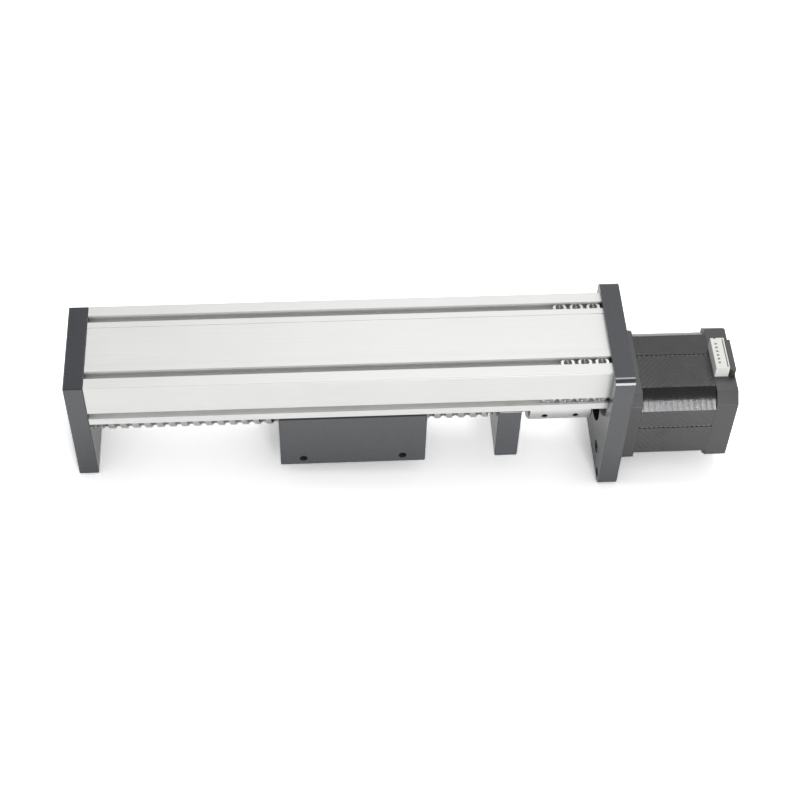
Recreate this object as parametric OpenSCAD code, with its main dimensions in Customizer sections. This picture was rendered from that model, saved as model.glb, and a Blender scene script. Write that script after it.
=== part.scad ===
// Compact ball-screw linear axis: an aluminium channel with T-slots carries a
// miniature rail, a carriage with a ball nut, and an in-line stepper motor.
// X runs from the idler plate to the motor, Y across the channel, Z up.
// The origin is on the screw axis, at the outer face of the idler plate.

/* [Channel profile] */
// Length of the extruded channel
profile_len = 208; // [150:1:400]
// Width of the channel
profile_w = 43; // [42:0.5:60]
// Height of the channel
profile_h = 23; // [22.5:0.5:30]
// Thickness of the web that carries the rail
web_t = 6.5; // [5.5:0.1:7]
// Thickness of each side wall
wall_t = 5.6; // [5.2:0.1:6]
// Height of the channel's underside above the screw axis
axis_drop = 17.5; // [16.5:0.1:20]
// Radius of the channel's outer edges
profile_edge_r = 0.6; // [0.3:0.1:1]
// Width of the shallow recess along the web's outer face
recess_w = 20; // [12:0.5:21]
// Depth of that recess
recess_d = 0.3; // [0.2:0.05:0.5]

/* [T-slots] */
// Width of a slot's mouth
slot_open = 3.6; // [3.2:0.1:4]
// Thickness of the lips beside a mouth
slot_lip = 1.1; // [1:0.1:1.5]
// Depth of the cavity behind the lips
slot_depth = 2.5; // [2.5:0.1:2.9]
// Distance of the web's slots from the channel's sides
web_slot_inset = 6.95; // [6.5:0.05:7.5]
// Distance of the side slots below the web's outer face
side_slot_drop = 17.3; // [16.5:0.1:17.6]

/* [Slot nuts] */
// Width of a slot nut across its flats
slot_nut_af = 5.5; // [5:0.1:5.7]
// Thickness of a slot nut
slot_nut_t = 2.3; // [1.8:0.1:2.4]
// Distance between nuts in a row
slot_nut_pitch = 6.9; // [6.7:0.1:8]
// Thread bore of a slot nut
slot_nut_bore = 2.5; // [2.2:0.1:3]
// Nuts in each web slot
web_nuts = 3; // [1:1:5]
// Nuts in each side slot
side_nuts = 4; // [1:1:5]
// Play of a nut between the cavity's walls, each side
slot_nut_play = 0.2; // [0.1:0.05:0.3]

/* [End plates] */
// Thickness of the idler plate
idler_t = 8; // [7:0.5:12]
// Distance from the screw axis down to the idler plate's foot
idler_foot = 15; // [13:0.5:20]
// Thickness of the motor plate
motor_plate_t = 8; // [7:0.5:12]
// Distance from the screw axis down to the motor plate's foot
motor_plate_foot = 26.5; // [24:0.5:32]
// Height of the motor plate above the channel
motor_plate_proud = 1.5; // [0.5:0.5:6]
// Overhang of the motor plate beyond the channel's front side
front_overhang = 6.5; // [5:0.5:12]
// Overhang of the motor plate beyond the channel's rear side
rear_overhang = 4.8; // [3:0.1:12]
// Corner radius of the motor plate
motor_plate_r = 3; // [1:0.5:4]
// Chamfer on the idler plate, the bearing block and the carriage
edge_chamfer = 0.4; // [0.2:0.1:0.6]
// Diameter of the two foot holes in the motor plate
foot_hole_d = 4.2; // [3.2:0.1:4.5]
// Distance of the foot holes from the motor plate's edges
foot_hole_inset = 4; // [4:0.5:5]

/* [Ball screw] */
// Outer diameter of the screw
screw_d = 15.8; // [15:0.1:16.2]
// Lead of the screw, the travel in one turn
lead = 5; // [4.8:0.1:5.2]
// Diameter of the circle on which the ball centres run
ball_circle_d = 17; // [16.8:0.1:17.2]
// Diameter of the recirculating balls
ball_d = 2.8; // [2.6:0.1:3]
// Groove radius over ball radius
groove_ratio = 1.05; // [1.03:0.01:1.08]
// Diameter of the screw's journals
journal_d = 8; // [7:0.1:8.5]
// Axial shift of the thread
thread_shift = 1.4; // [0:0.1:4.9]

/* [Idler bearing] */
// Outer diameter of the idler bearing
idler_brg_od = 16; // [15:0.5:18]
// Width of the idler bearing
idler_brg_w = 5; // [4:0.5:5.5]

/* [Fixed bearing] */
// Thickness of the bearing block along the screw
block_t = 9.5; // [9.5:0.5:14]
// Distance from the screw axis down to the block's underside
block_foot = 12; // [12:0.5:16]
// Outer diameter of the fixed bearing
fixed_brg_od = 19; // [18:0.5:20]
// Width of the fixed bearing
fixed_brg_w = 6; // [5:0.5:6.5]
// Diameter of the retaining cover
cover_d = 28; // [26:0.5:32]
// Thickness of the retaining cover
cover_t = 1.5; // [1:0.1:1.6]
// Diameter of the cover's screws
cover_screw_d = 1.6; // [1.4:0.1:1.7]
// Depth of the cover's head recesses
cover_recess = 0.7; // [0.5:0.1:0.8]
// Free length between the block and the coupling
lock_space = 5; // [4.8:0.1:12]
// Thickness of the lock nut
lock_nut_t = 3.2; // [3:0.1:3.4]
// Width of the lock nut across its flats
lock_nut_af = 11; // [10:0.5:12]

/* [Coupling] */
// Diameter of the coupling
coupling_d = 19; // [17:0.5:20]
// Length of the coupling
coupling_len = 27; // [24:0.5:30]
// Gap between the coupling and the motor plate
coupling_gap = 2.5; // [2:0.1:5]
// Diameter of the coupling's clamp screws
coupling_screw_d = 2.5; // [2.5:0.5:4]
// Distance of the clamp screws from the coupling's ends
coupling_screw_inset = 7; // [5:0.5:8]
// Angle at which the clamp screws stand at rest
coupling_screw_angle = 189; // [0:1:359]

/* [Guide rail and block] */
// Width of the guide rail
rail_w = 12; // [11:0.5:13]
// Height of the guide rail
rail_h = 8; // [7.5:0.1:8.5]
// Distance between the rail's screws
rail_pitch = 25; // [20:1:40]
// Distance from the rail's end to its first screw
rail_end = 10; // [6:0.5:12]
// Clearance between the rail's end and the plate or block
rail_end_gap = 2; // [1:0.5:6]
// Width of the guide block
guide_w = 27; // [26:0.5:28]
// Length of the guide block's steel body
guide_len = 33; // [30:0.5:40]
// Length of each plastic end cap of the guide block
guide_cap_len = 6; // [4:0.5:8]
// Height of the guide block
guide_h = 10; // [9.5:0.1:10.5]
// Height of rail and block together
guide_stack = 13; // [12.5:0.1:13]
// Diameter of the guide block's balls
guide_ball_d = 2; // [1.6:0.1:2.2]
// Spacing of the guide block's screws both ways
guide_screw_pitch = 20; // [18:0.5:21]

/* [Carriage] */
// Length of the carriage
carriage_len = 60; // [56:0.5:80]
// Height of the carriage below the screw axis
carriage_foot = 13.5; // [13.5:0.1:14.5]
// Running gap between the carriage and the channel
carriage_gap = 0.5; // [0.3:0.1:1]
// Distance from the idler plate to the carriage at rest
carriage_rest = 75.1; // [5:0.1:80]
// Spacing of the threaded holes in the table face, along the axis
table_hole_x = 30; // [26:0.5:34]
// Spacing of the threaded holes in the table face, across the axis
table_hole_y = 33; // [31:0.5:34]
// Spacing of the threaded holes in the carriage's sides
side_hole_x = 41; // [30:0.5:42]
// Distance of the side holes below the screw axis
side_hole_drop = 9.3; // [9:0.1:9.6]
// Drill diameter of the carriage's threaded holes
tapped_d = 3.3; // [3:0.1:3.5]
// Depth of the carriage's threaded holes
tapped_depth = 7; // [6:0.5:8]

/* [Ball nut] */
// Outer diameter of the ball nut
ball_nut_d = 24; // [23.5:0.1:24]
// Length of the ball nut
ball_nut_len = 50; // [46:0.5:51]
// Shoulder in the carriage that stops the ball nut
nut_shoulder = 6; // [4:0.5:6]
// Number of ball circuits
circuits = 3; // [1:1:3]
// Distance between ball circuits, in leads
circuit_step = 2; // [2:1:2]
// Angle of one turn that the balls fill
circuit_angle = 296; // [270:2:298]
// Thickness of the wipers at the nut's ends
wiper_t = 3; // [2:0.5:3.5]

/* [Stepper motor] */
// Width of the motor's square body
motor_w = 41.5; // [40:0.5:44]
// Chamfer across the corners of the motor's flange and rear cap
motor_corner = 4; // [3.6:0.1:4.4]
// Steel left outside each long screw where the stack's corners are cut
stack_wall = 0.9; // [0.8:0.1:2]
// Length of the motor's front flange
flange_len = 7; // [7:0.1:9]
// Length of the laminated stator
stator_len = 30.5; // [24:0.5:50]
// Length of the motor's rear cap
rear_cap_len = 8.8; // [8.8:0.1:10]
// Diameter of the motor's pilot
pilot_d = 22; // [20:0.5:23]
// Height of the pilot
pilot_h = 2; // [1.5:0.1:2.5]
// Spacing of the motor's mounting holes
motor_hole_pitch = 31; // [30.5:0.1:31.2]
// Diameter of the motor shaft
shaft_d = 5; // [4.5:0.1:6]
// Diameter of the rotor
rotor_d = 22; // [20:0.5:23]
// Width of the connector across the motor
connector_w = 16; // [14:0.5:18]
// Depth of the connector along the motor
connector_len = 5.6; // [5:0.1:5.8]
// Height of the connector above the motor's side
connector_h = 5.5; // [4:0.5:7]
// Number of the connector's pins
connector_pins = 6; // [2:1:6]
// Sideways place of the connector
connector_shift = -1; // [-3:0.5:3]
// Thickness of the hood behind the connector
hood_t = 2.2; // [1.8:0.1:2.3]
// Distance of the hood's edge below the connector's
hood_drop = 1.2; // [0.5:0.1:2]

/* [Screws and fits] */
// Diameter of the small machine screws
screw_m = 3; // [2.5:0.1:3]
// Head diameter of the small machine screws
head_d = 5.5; // [5:0.1:5.5]
// Head height of the small machine screws
head_h = 3; // [2:0.1:3]
// Clearance of a screw in a drilled hole, on the diameter
hole_clear = 0.4; // [0.2:0.1:0.5]
// Clearance of a seated piece or of a screw in its thread, radial
seat_gap = 0.02; // [0.01:0.01:0.03]
// Running clearance of turning pieces, radial
run_gap = 0.15; // [0.1:0.05:0.2]

/* [Hidden] */
$fn = 48;
eps = 0.01;

// Places along the axis
profile_x0 = idler_t;
profile_x1 = profile_x0 + profile_len;
motor_x = profile_x1 + motor_plate_t;
coupling_x1 = profile_x1 - coupling_gap;
coupling_x0 = coupling_x1 - coupling_len;
block_x1 = coupling_x0 - lock_space;
block_x0 = block_x1 - block_t;
carriage_x0 = profile_x0 + carriage_rest;
carriage_xm = carriage_x0 + carriage_len / 2;
carriage_x1 = carriage_x0 + carriage_len;

// Heights and half widths of the channel
half_w = profile_w / 2;
inner_half = half_w - wall_t;
lip_z = axis_drop;
top_z = lip_z + profile_h;
web_z = top_z - web_t;
side_slot_z = top_z - side_slot_drop;
web_slot_y = half_w - web_slot_inset;
cavity_w = slot_nut_af + 2 * slot_nut_play;
corner_bore_y = half_w - head_d / 2 - 0.55;
corner_bore_z = (web_z + side_slot_z + cavity_w / 2) / 2 + 0.6;
web_bore_y = (web_slot_y - cavity_w / 2) / 2;
web_bore_z = web_z + web_t / 2;
profile_bores = [
    [-corner_bore_y, corner_bore_z], [corner_bore_y, corner_bore_z],
    [-web_bore_y, web_bore_z], [web_bore_y, web_bore_z]
];

// Screw holes
head_recess = head_h + 0.3;
through_r = (screw_m + hole_clear) / 2;
head_hole_r = head_d / 2 + 0.15;
thread_r = screw_m / 2 + seat_gap;
bite = 6;

// Rail and guide block
rail_x0 = profile_x0 + rail_end_gap;
rail_x1 = block_x0 - rail_end_gap;
rail_z = web_z - rail_h;
rail_tap = web_t - recess_d - 0.8;
rail_holes = floor((rail_x1 - rail_x0 - 2 * rail_end) / rail_pitch);
rail_hole_x0 = (rail_x0 + rail_x1 - rail_holes * rail_pitch) / 2;
guide_z0 = web_z - guide_stack;
guide_z1 = guide_z0 + guide_h;
guide_ball_y = rail_w / 2 + 0.3;
guide_ball_z = rail_z + rail_h * 0.42;
guide_groove_r = guide_ball_d / 2 + 0.08;
guide_channel = rail_w / 2 + 0.7;
pad_z = lip_z - carriage_gap;

// Ball screw and nut
groove_r = groove_ratio * ball_d / 2;
ball_r = ball_circle_d / 2;
crest_r = screw_d / 2;
turn_steps = 18;
arc_steps = 4;
// The groove's flats lie on its circle, so its corners stand a little outside
groove_corner_r = groove_r / cos(85 / arc_steps);
groove_angle = acos((ball_r - crest_r) / groove_corner_r);
groove_half = groove_corner_r * sin(groove_angle);
land = lead - 2 * groove_half;
thread_x0 = profile_x0 + 0.6;
thread_x1 = block_x0 - 2;
journal_r = journal_d / 2;
inner_ring_r = journal_r + 1.5;
idler_journal_x = idler_t - idler_brg_w;
fixed_brg_x1 = block_x1 - cover_t;
fixed_brg_x0 = fixed_brg_x1 - fixed_brg_w;
cover_bite = 3;
cover_screw_r = (fixed_brg_od + cover_d) / 4;
lock_nut_x0 = block_x1 + (lock_space - lock_nut_t) * 0.6;
shaft_gap = 0.5;
coupling_xm = (coupling_x0 + coupling_x1) / 2;
nut_x0 = carriage_x0 + nut_shoulder;
nut_x1 = nut_x0 + ball_nut_len;
nut_xm = (nut_x0 + nut_x1) / 2;
nut_bore_r = crest_r + 0.2;
nut_seat_r = ball_nut_d / 2 + seat_gap;
// The heads of the guide block's screws hang just clear of the nut below them
guide_head_y = guide_screw_pitch / 2 - head_d / 2;
guide_seat_z = sqrt(nut_seat_r * nut_seat_r - guide_head_y * guide_head_y) + head_h + 0.15;
ring_t = 1.2;
ring_x0 = nut_x1 + 0.1;
track_sides = 8;
track_r = (groove_r + 0.25) / cos(180 / track_sides);
lock_floor = ball_r + track_r + 0.3;
circuit_x0 = nut_xm - (circuits - 1) * circuit_step * lead / 2;
balls_in_turn = floor(circuit_angle / 360 * PI * ball_circle_d / (ball_d * 1.03));
deflector_r = 3;
deflector_inner = crest_r + 0.35;

// Motor
motor_r = motor_w / 2;
motor_hole = motor_hole_pitch / 2;
stator_x0 = motor_x + flange_len;
stator_x1 = stator_x0 + stator_len;
motor_x1 = stator_x1 + rear_cap_len;
motor_brg_d = 16;
motor_brg_w = 5;
front_brg_x0 = motor_x + 1;
rear_brg_x0 = motor_x1 - motor_brg_w - 1.5;
yoke_r = 17.5;
pole_w = 4.4;
shoe_t = 1.6;
stator_bore_r = rotor_d / 2 + run_gap;
coil_t = 2.2;
coil_over = 2.5;
coil_out_r = yoke_r - 0.6;
rotor_x0 = stator_x0 + 3;
rotor_x1 = stator_x1 - 3;
magnet_t = 3;
motor_screw_d = 3;
stack_hole_r = motor_screw_d / 2 + 0.1;
stack_corner = motor_w - motor_hole_pitch - sqrt(2) * (stack_hole_r + stack_wall);
motor_corners = [
    [-motor_hole, -motor_hole], [motor_hole, -motor_hole],
    [-motor_hole, motor_hole], [motor_hole, motor_hole]
];
connector_x0 = stator_x1 + 0.1;
connector_x1 = connector_x0 + connector_len;
connector_wall = 0.5;
connector_groove = 0.5;
connector_z0 = coil_out_r + 0.2;
connector_z1 = motor_r + connector_h;
contact_pitch = 2;
contact_w = 0.5;
contact_pocket = 1;
contact_x = connector_x0 + 1.8;

// Lays a flat shape across the axis and gives it length along X
module along_x(x0, x1) {
    translate([x0, 0, 0])
        rotate([90, 0, 90])
            linear_extrude(x1 - x0)
                children();
}

// Round bar along the axis
module rod(r, x0, x1) {
    translate([x0, 0, 0])
        rotate([0, 90, 0])
            cylinder(r = r, h = x1 - x0);
}

// Ring around the axis
module ring(ro, ri, x0, x1) {
    difference() {
        rod(ro, x0, x1);
        rod(ri, x0 - 1, x1 + 1);
    }
}

// Rectangle with round corners
module round_rect(w, h, r) {
    union() {
        square([w - 2 * r, h], center = true);
        square([w, h - 2 * r], center = true);
        for (sy = [-1, 1], sz = [-1, 1])
            translate([sy * (w / 2 - r), sz * (h / 2 - r)])
                circle(r = r, $fn = 32);
    }
}

// Rectangle with cut corners
module cut_rect(w, h, c) {
    polygon([
        [-w / 2 + c, -h / 2], [w / 2 - c, -h / 2], [w / 2, -h / 2 + c], [w / 2, h / 2 - c],
        [w / 2 - c, h / 2], [-w / 2 + c, h / 2], [-w / 2, h / 2 - c], [-w / 2, -h / 2 + c]
    ]);
}

// Block with all edges chamfered, between two corners
module chamfered_block(low, high, c) {
    size = high - low;
    translate((low + high) / 2)
        intersection() {
            rotate([90, 0, 90])
                linear_extrude(size[0], center = true)
                    cut_rect(size[1], size[2], c);
            rotate([90, 0, 0])
                linear_extrude(size[1], center = true)
                    cut_rect(size[0], size[2], c);
            linear_extrude(size[2], center = true)
                cut_rect(size[0], size[1], c);
        }
}

// Socket-head screw with its head at the origin and its shank down -Z
module cap_screw(d, shank, hd, hh) {
    difference() {
        union() {
            cylinder(d = hd, h = hh);
            translate([0, 0, -shank])
                cylinder(d = d, h = shank + eps);
        }
        translate([0, 0, hh * 0.45])
            cylinder(d = hd * 0.5, h = hh, $fn = 6);
    }
}

// Headless screw with its socket end at the origin and its shank down -Z
module grub_screw(d, shank) {
    difference() {
        translate([0, 0, -shank])
            cylinder(d = d, h = shank);
        translate([0, 0, -shank * 0.45])
            cylinder(d = d * 0.55, h = shank, $fn = 6);
    }
}

// T-slot cut: mouth and cavity, opening towards +Y of the sketch at the origin
module slot_section() {
    union() {
        translate([-slot_open / 2, -slot_lip - eps])
            square([slot_open, slot_lip + 1]);
        translate([-cavity_w / 2, -slot_lip - slot_depth])
            square([cavity_w, slot_depth]);
    }
}

// Section of the channel across the axis
module profile_section() {
    difference() {
        translate([0, (lip_z + top_z) / 2])
            round_rect(profile_w, profile_h, profile_edge_r);
        translate([-inner_half, lip_z - 1])
            square([2 * inner_half, web_z - lip_z + 1]);
        translate([-recess_w / 2, top_z - recess_d])
            square([recess_w, recess_d + 1]);
        for (s = [-1, 1]) {
            translate([s * web_slot_y, top_z])
                slot_section();
            translate([s * half_w, side_slot_z])
                rotate([0, 0, -s * 90])
                    slot_section();
        }
        for (p = profile_bores)
            translate(p)
                circle(r = thread_r, $fn = 24);
    }
}

module profile() {
    color([0.86, 0.87, 0.87])
        difference() {
            along_x(profile_x0, profile_x1)
                profile_section();
            for (i = [0 : rail_holes])
                translate([rail_hole_x0 + i * rail_pitch, 0, web_z - 1])
                    cylinder(r = thread_r, h = rail_tap + 1);
            for (s = [-1, 1])
                translate([(block_x0 + block_x1) / 2, s * (inner_half - 1), side_slot_z])
                    rotate([-s * 90, 0, 0])
                        cylinder(r = thread_r, h = wall_t - slot_lip - slot_depth + 1.5);
        }
}

// Through holes and head recesses for the four screws at a channel end,
// with the heads towards -X of the plate when side is -1
module end_screw_holes(x0, x1, side) {
    for (p = profile_bores) {
        translate([0, p[0], p[1]])
            rod(through_r, x0 - 1, x1 + 1);
        translate([0, p[0], p[1]])
            if (side < 0)
                rod(head_hole_r, x0 - 1, x0 + head_recess);
            else
                rod(head_hole_r, x1 - head_recess, x1 + 1);
    }
}

module idler_plate() {
    color([0.2, 0.2, 0.22])
        difference() {
            chamfered_block([0, -half_w, -idler_foot], [idler_t, half_w, top_z], edge_chamfer);
            rod(idler_brg_od / 2 + seat_gap, idler_journal_x, idler_t + 1);
            rod(idler_brg_od / 2 - 2, idler_journal_x - 0.6, idler_t);
            end_screw_holes(0, idler_t, -1);
        }
}

module motor_plate() {
    plate_w = profile_w + front_overhang + rear_overhang;
    plate_h = top_z + motor_plate_proud + motor_plate_foot;
    plate_y = (rear_overhang - front_overhang) / 2;
    plate_z = (top_z + motor_plate_proud - motor_plate_foot) / 2;
    color([0.2, 0.2, 0.22])
        difference() {
            along_x(profile_x1, motor_x)
                translate([plate_y, plate_z])
                    round_rect(plate_w, plate_h, motor_plate_r);
            rod(pilot_d / 2 + seat_gap, profile_x1 - 1, motor_x + 1);
            end_screw_holes(profile_x1, motor_x, 1);
            for (p = motor_corners)
                translate([0, p[0], p[1]]) {
                    rod((motor_screw_d + hole_clear) / 2, profile_x1 - 1, motor_x + 1);
                    rod(head_hole_r, profile_x1 - 1, profile_x1 + head_recess);
                }
            for (y = [-half_w - front_overhang + foot_hole_inset, half_w + rear_overhang - foot_hole_inset])
                translate([0, y, -motor_plate_foot + foot_hole_inset])
                    rod(foot_hole_d / 2, profile_x1 - 1, motor_x + 1);
        }
}

module bearing_block() {
    tongue = inner_half - 0.1;
    color([0.2, 0.2, 0.22])
        difference() {
            union() {
                chamfered_block([block_x0, -half_w, -block_foot], [block_x1, half_w, lip_z], edge_chamfer);
                translate([block_x0, -tongue, lip_z - 2])
                    cube([block_t, 2 * tongue, web_z - lip_z + 2]);
            }
            rod(inner_ring_r + 1.5, block_x0 - 1, block_x1);
            rod(fixed_brg_od / 2 + seat_gap, fixed_brg_x0, block_x1 + 1);
            along_x(fixed_brg_x1, block_x1 + 1)
                cover_outline(seat_gap);
            for (a = [45 : 90 : 315])
                rotate([a, 0, 0])
                    translate([0, cover_screw_r, 0])
                        rod(cover_screw_d / 2 + seat_gap, fixed_brg_x1 - cover_bite - 0.5, block_x1);
            for (s = [-1, 1])
                translate([(block_x0 + block_x1) / 2, s * (inner_half - bite), side_slot_z])
                    rotate([-s * 90, 0, 0])
                        cylinder(r = thread_r, h = bite + 1);
        }
}

module idler_plate_screws() {
    color([0.3, 0.3, 0.32])
        for (p = profile_bores)
            translate([head_recess, p[0], p[1]])
                rotate([0, -90, 0])
                    cap_screw(screw_m, idler_t - head_recess + bite, head_d, head_h);
}

module motor_plate_screws() {
    color([0.3, 0.3, 0.32])
        for (p = profile_bores)
            translate([motor_x - head_recess, p[0], p[1]])
                rotate([0, 90, 0])
                    cap_screw(screw_m, motor_plate_t - head_recess + bite, head_d, head_h);
}

// Headless screws through the floors of the side slots into the block's tongue
module block_screws() {
    color([0.3, 0.3, 0.32])
        for (s = [-1, 1])
            translate([(block_x0 + block_x1) / 2, s * (half_w - slot_lip - slot_depth), side_slot_z])
                rotate([-s * 90, 0, 0])
                    grub_screw(screw_m, wall_t - slot_lip - slot_depth + bite - 0.5);
}

// Section of the guide rail: ball grooves in both flanks, necked towards its foot
module rail_section() {
    neck = rail_w / 2 - 0.7;
    difference() {
        polygon([
            [-rail_w / 2, web_z], [-rail_w / 2, web_z - 2.4],
            [-neck, web_z - 3.1], [-neck, guide_ball_z + 1.2],
            [-rail_w / 2, guide_ball_z + 0.5], [-rail_w / 2, rail_z + 0.5], [-rail_w / 2 + 0.5, rail_z],
            [rail_w / 2 - 0.5, rail_z], [rail_w / 2, rail_z + 0.5], [rail_w / 2, guide_ball_z + 0.5],
            [neck, guide_ball_z + 1.2], [neck, web_z - 3.1], [rail_w / 2, web_z - 2.4], [rail_w / 2, web_z]
        ]);
        for (s = [-1, 1])
            translate([s * guide_ball_y, guide_ball_z])
                circle(r = guide_groove_r, $fn = 32);
    }
}

module guide_rail() {
    color([0.75, 0.76, 0.78])
        difference() {
            along_x(rail_x0, rail_x1)
                rail_section();
            for (i = [0 : rail_holes])
                translate([rail_hole_x0 + i * rail_pitch, 0, rail_z - 1]) {
                    cylinder(r = through_r, h = rail_h + 2);
                    cylinder(r = head_hole_r, h = head_recess + 1.2);
                }
        }
}

module rail_screws() {
    color([0.3, 0.3, 0.32])
        for (i = [0 : rail_holes])
            translate([rail_hole_x0 + i * rail_pitch, 0, rail_z + head_recess + 0.2])
                rotate([180, 0, 0])
                    cap_screw(screw_m, rail_h - head_recess - 0.2 + rail_tap - 0.8, head_d, head_h);
}

// Section of the guide block: a saddle that reaches round the rail's flanks
module guide_section(side_cut) {
    difference() {
        translate([0, (guide_z0 + guide_z1) / 2])
            cut_rect(guide_w - 2 * side_cut, guide_h - 2 * side_cut, 0.6);
        translate([-guide_channel, rail_z - 0.3])
            square([2 * guide_channel, guide_h]);
    }
}

module guide_block() {
    color([0.72, 0.73, 0.75])
        difference() {
            along_x(carriage_xm - guide_len / 2, carriage_xm + guide_len / 2)
                difference() {
                    guide_section(0);
                    for (s = [-1, 1])
                        translate([s * guide_ball_y, guide_ball_z])
                            circle(r = guide_groove_r, $fn = 32);
                }
            for (x = [-0.5, 0.5], y = [-0.5, 0.5])
                translate([carriage_xm + x * guide_screw_pitch, y * guide_screw_pitch, guide_z0 - 1])
                    cylinder(r = thread_r, h = 4.5);
        }
}

module guide_end_caps() {
    color([0.15, 0.32, 0.2])
        for (s = [-1, 1])
            translate([carriage_xm + s * (guide_len + guide_cap_len) / 2, 0, 0])
                along_x(-guide_cap_len / 2, guide_cap_len / 2)
                    guide_section(0.3);
}

module guide_balls() {
    count = floor((guide_len - 2) / (guide_ball_d * 1.05));
    color([0.85, 0.85, 0.87])
        for (s = [-1, 1], i = [0 : count - 1])
            translate([
                carriage_xm + (i - (count - 1) / 2) * guide_ball_d * 1.05,
                s * guide_ball_y, guide_ball_z
            ])
                sphere(d = guide_ball_d, $fn = 16);
}

module guide_block_screws() {
    color([0.3, 0.3, 0.32])
        for (x = [-0.5, 0.5], y = [-0.5, 0.5])
            translate([carriage_xm + x * guide_screw_pitch, y * guide_screw_pitch, guide_seat_z])
                rotate([180, 0, 0])
                    cap_screw(screw_m, guide_z0 - guide_seat_z + 3, head_d, head_h);
}

// Carriage: one block, bored for the ball nut and padded up to the guide block.
// The screws into the guide block are put in from below, through the empty nut bore.
module carriage() {
    color([0.22, 0.22, 0.24])
        difference() {
            union() {
                chamfered_block(
                    [carriage_x0, -half_w, -carriage_foot], [carriage_x1, half_w, pad_z], edge_chamfer);
                translate([carriage_xm - guide_len / 2, -guide_w / 2, pad_z - 2])
                    cube([guide_len, guide_w, guide_z0 - pad_z + 2]);
            }
            rod(nut_seat_r, nut_x0, carriage_x1 + 1);
            rod(crest_r + 1, carriage_x0 - 1, nut_x0 + 1);
            rod(nut_seat_r + 0.7, ring_x0, ring_x0 + ring_t + 0.1);
            for (x = [-0.5, 0.5], y = [-0.5, 0.5])
                translate([carriage_xm + x * guide_screw_pitch, y * guide_screw_pitch, 0]) {
                    translate([0, 0, guide_seat_z - 1])
                        cylinder(r = through_r, h = guide_z0);
                    translate([0, 0, -carriage_foot - 1])
                        cylinder(r = head_hole_r, h = carriage_foot + 1 + guide_seat_z);
                }
            for (x = [-0.5, 0.5], y = [-0.5, 0.5])
                translate([carriage_xm + x * table_hole_x, y * table_hole_y, -carriage_foot - 1])
                    cylinder(d = tapped_d, h = tapped_depth + 1);
            for (x = [-0.5, 0.5], s = [-1, 1])
                translate([carriage_xm + x * side_hole_x, s * (half_w - tapped_depth), -side_hole_drop])
                    rotate([-s * 90, 0, 0])
                        cylinder(d = tapped_d, h = tapped_depth + 1);
            translate([carriage_xm, 0, -carriage_foot - 1])
                cylinder(d = tapped_d + 2 * seat_gap, h = carriage_foot);
        }
}

// Points of one thread pitch: axial offset and radius, land first, then the ball groove
function pitch_point(j) =
    j == 0 ? [0, crest_r]
    : let (a = -groove_angle + 2 * groove_angle * (j - 1) / arc_steps)
        [land + groove_half + groove_corner_r * sin(a), ball_r - groove_corner_r * cos(a)];

thread_points = arc_steps + 1;

// Screw thread as one closed surface: a strip one pitch wide that winds along the axis
module thread(x0, x1) {
    turns = floor((x1 - x0) / lead) - 1;
    steps = turns * turn_steps;
    strip = [
        for (t = [0 : steps], j = [0 : thread_points - 1])
            let (p = pitch_point(j), a = 360 * t / turn_steps)
                [x0 + lead * t / turn_steps + p[0], p[1] * cos(a), p[1] * sin(a)]
    ];
    last_edge = [
        for (t = [steps - turn_steps + 1 : steps])
            let (a = 360 * t / turn_steps)
                [x0 + lead * (1 + t / turn_steps), crest_r * cos(a), crest_r * sin(a)]
    ];
    m = thread_points;
    first_edge_start = len(strip);
    tail = first_edge_start + turn_steps;
    // The edge after the last groove point is the next turn's land, one turn on
    function at(t, j) =
        j < m ? t * m + j
        : t + turn_steps <= steps ? (t + turn_steps) * m
        : first_edge_start + t - (steps - turn_steps) - 1;
    faces = concat(
        [for (t = [0 : steps - 1], j = [0 : m - 1]) [at(t, j), at(t, j + 1), at(t + 1, j + 1)]],
        [for (t = [0 : steps - 1], j = [0 : m - 1]) [at(t, j), at(t + 1, j + 1), at(t + 1, j)]],
        [for (t = [0 : turn_steps - 1]) [tail, at(t, 0), at(t + 1, 0)]],
        [for (j = [0 : m - 1]) [tail, at(0, j + 1), at(0, j)]],
        [for (t = [steps - turn_steps : steps - 1]) [tail + 1, at(t + 1, m), at(t, m)]],
        [for (j = [0 : m - 1]) [tail + 1, at(steps, j), at(steps, j + 1)]]
    );
    polyhedron(
        points = concat(strip, last_edge, [[x0, 0, 0], [x0 + lead * (1 + turns), 0, 0]]),
        faces = faces, convexity = 10
    );
}

module ball_screw() {
    shoulder_r = inner_ring_r + 0.7;
    color([0.78, 0.78, 0.8])
        union() {
            thread(thread_x0 + thread_shift, thread_x1);
            rod(journal_r, idler_journal_x + 0.3, thread_x0 + 2 * lead);
            rod(shoulder_r, idler_t, thread_x0 + 2 * lead);
            rod(shoulder_r, thread_x1 - 2 * lead, fixed_brg_x0);
            rod(journal_r, thread_x1 - 2 * lead, coupling_xm - shaft_gap / 2);
        }
}

// Outer ring, inner ring and balls of a bearing, centred at the middle of its width
module bearing_outer(od, w) {
    ball = bearing_ball(od);
    difference() {
        ring(od / 2, od / 2 - (od / 2 - inner_ring_r) * 0.34, -w / 2, w / 2);
        bearing_track(od, ball);
    }
}

module bearing_inner(od, w) {
    ball = bearing_ball(od);
    difference() {
        ring(inner_ring_r, journal_r + seat_gap, -w / 2, w / 2);
        bearing_track(od, ball);
    }
}

module bearing_track(od, ball) {
    rotate([0, 90, 0])
        rotate_extrude()
            translate([bearing_pitch_r(od), 0])
                circle(r = ball + 0.06, $fn = 32);
}

module bearing_balls(od) {
    ball = bearing_ball(od);
    count = floor(PI * bearing_pitch_r(od) / (ball * 1.25));
    for (i = [0 : count - 1])
        rotate([360 * i / count, 0, 0])
            translate([0, bearing_pitch_r(od), 0])
                sphere(r = ball, $fn = 16);
}

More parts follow.
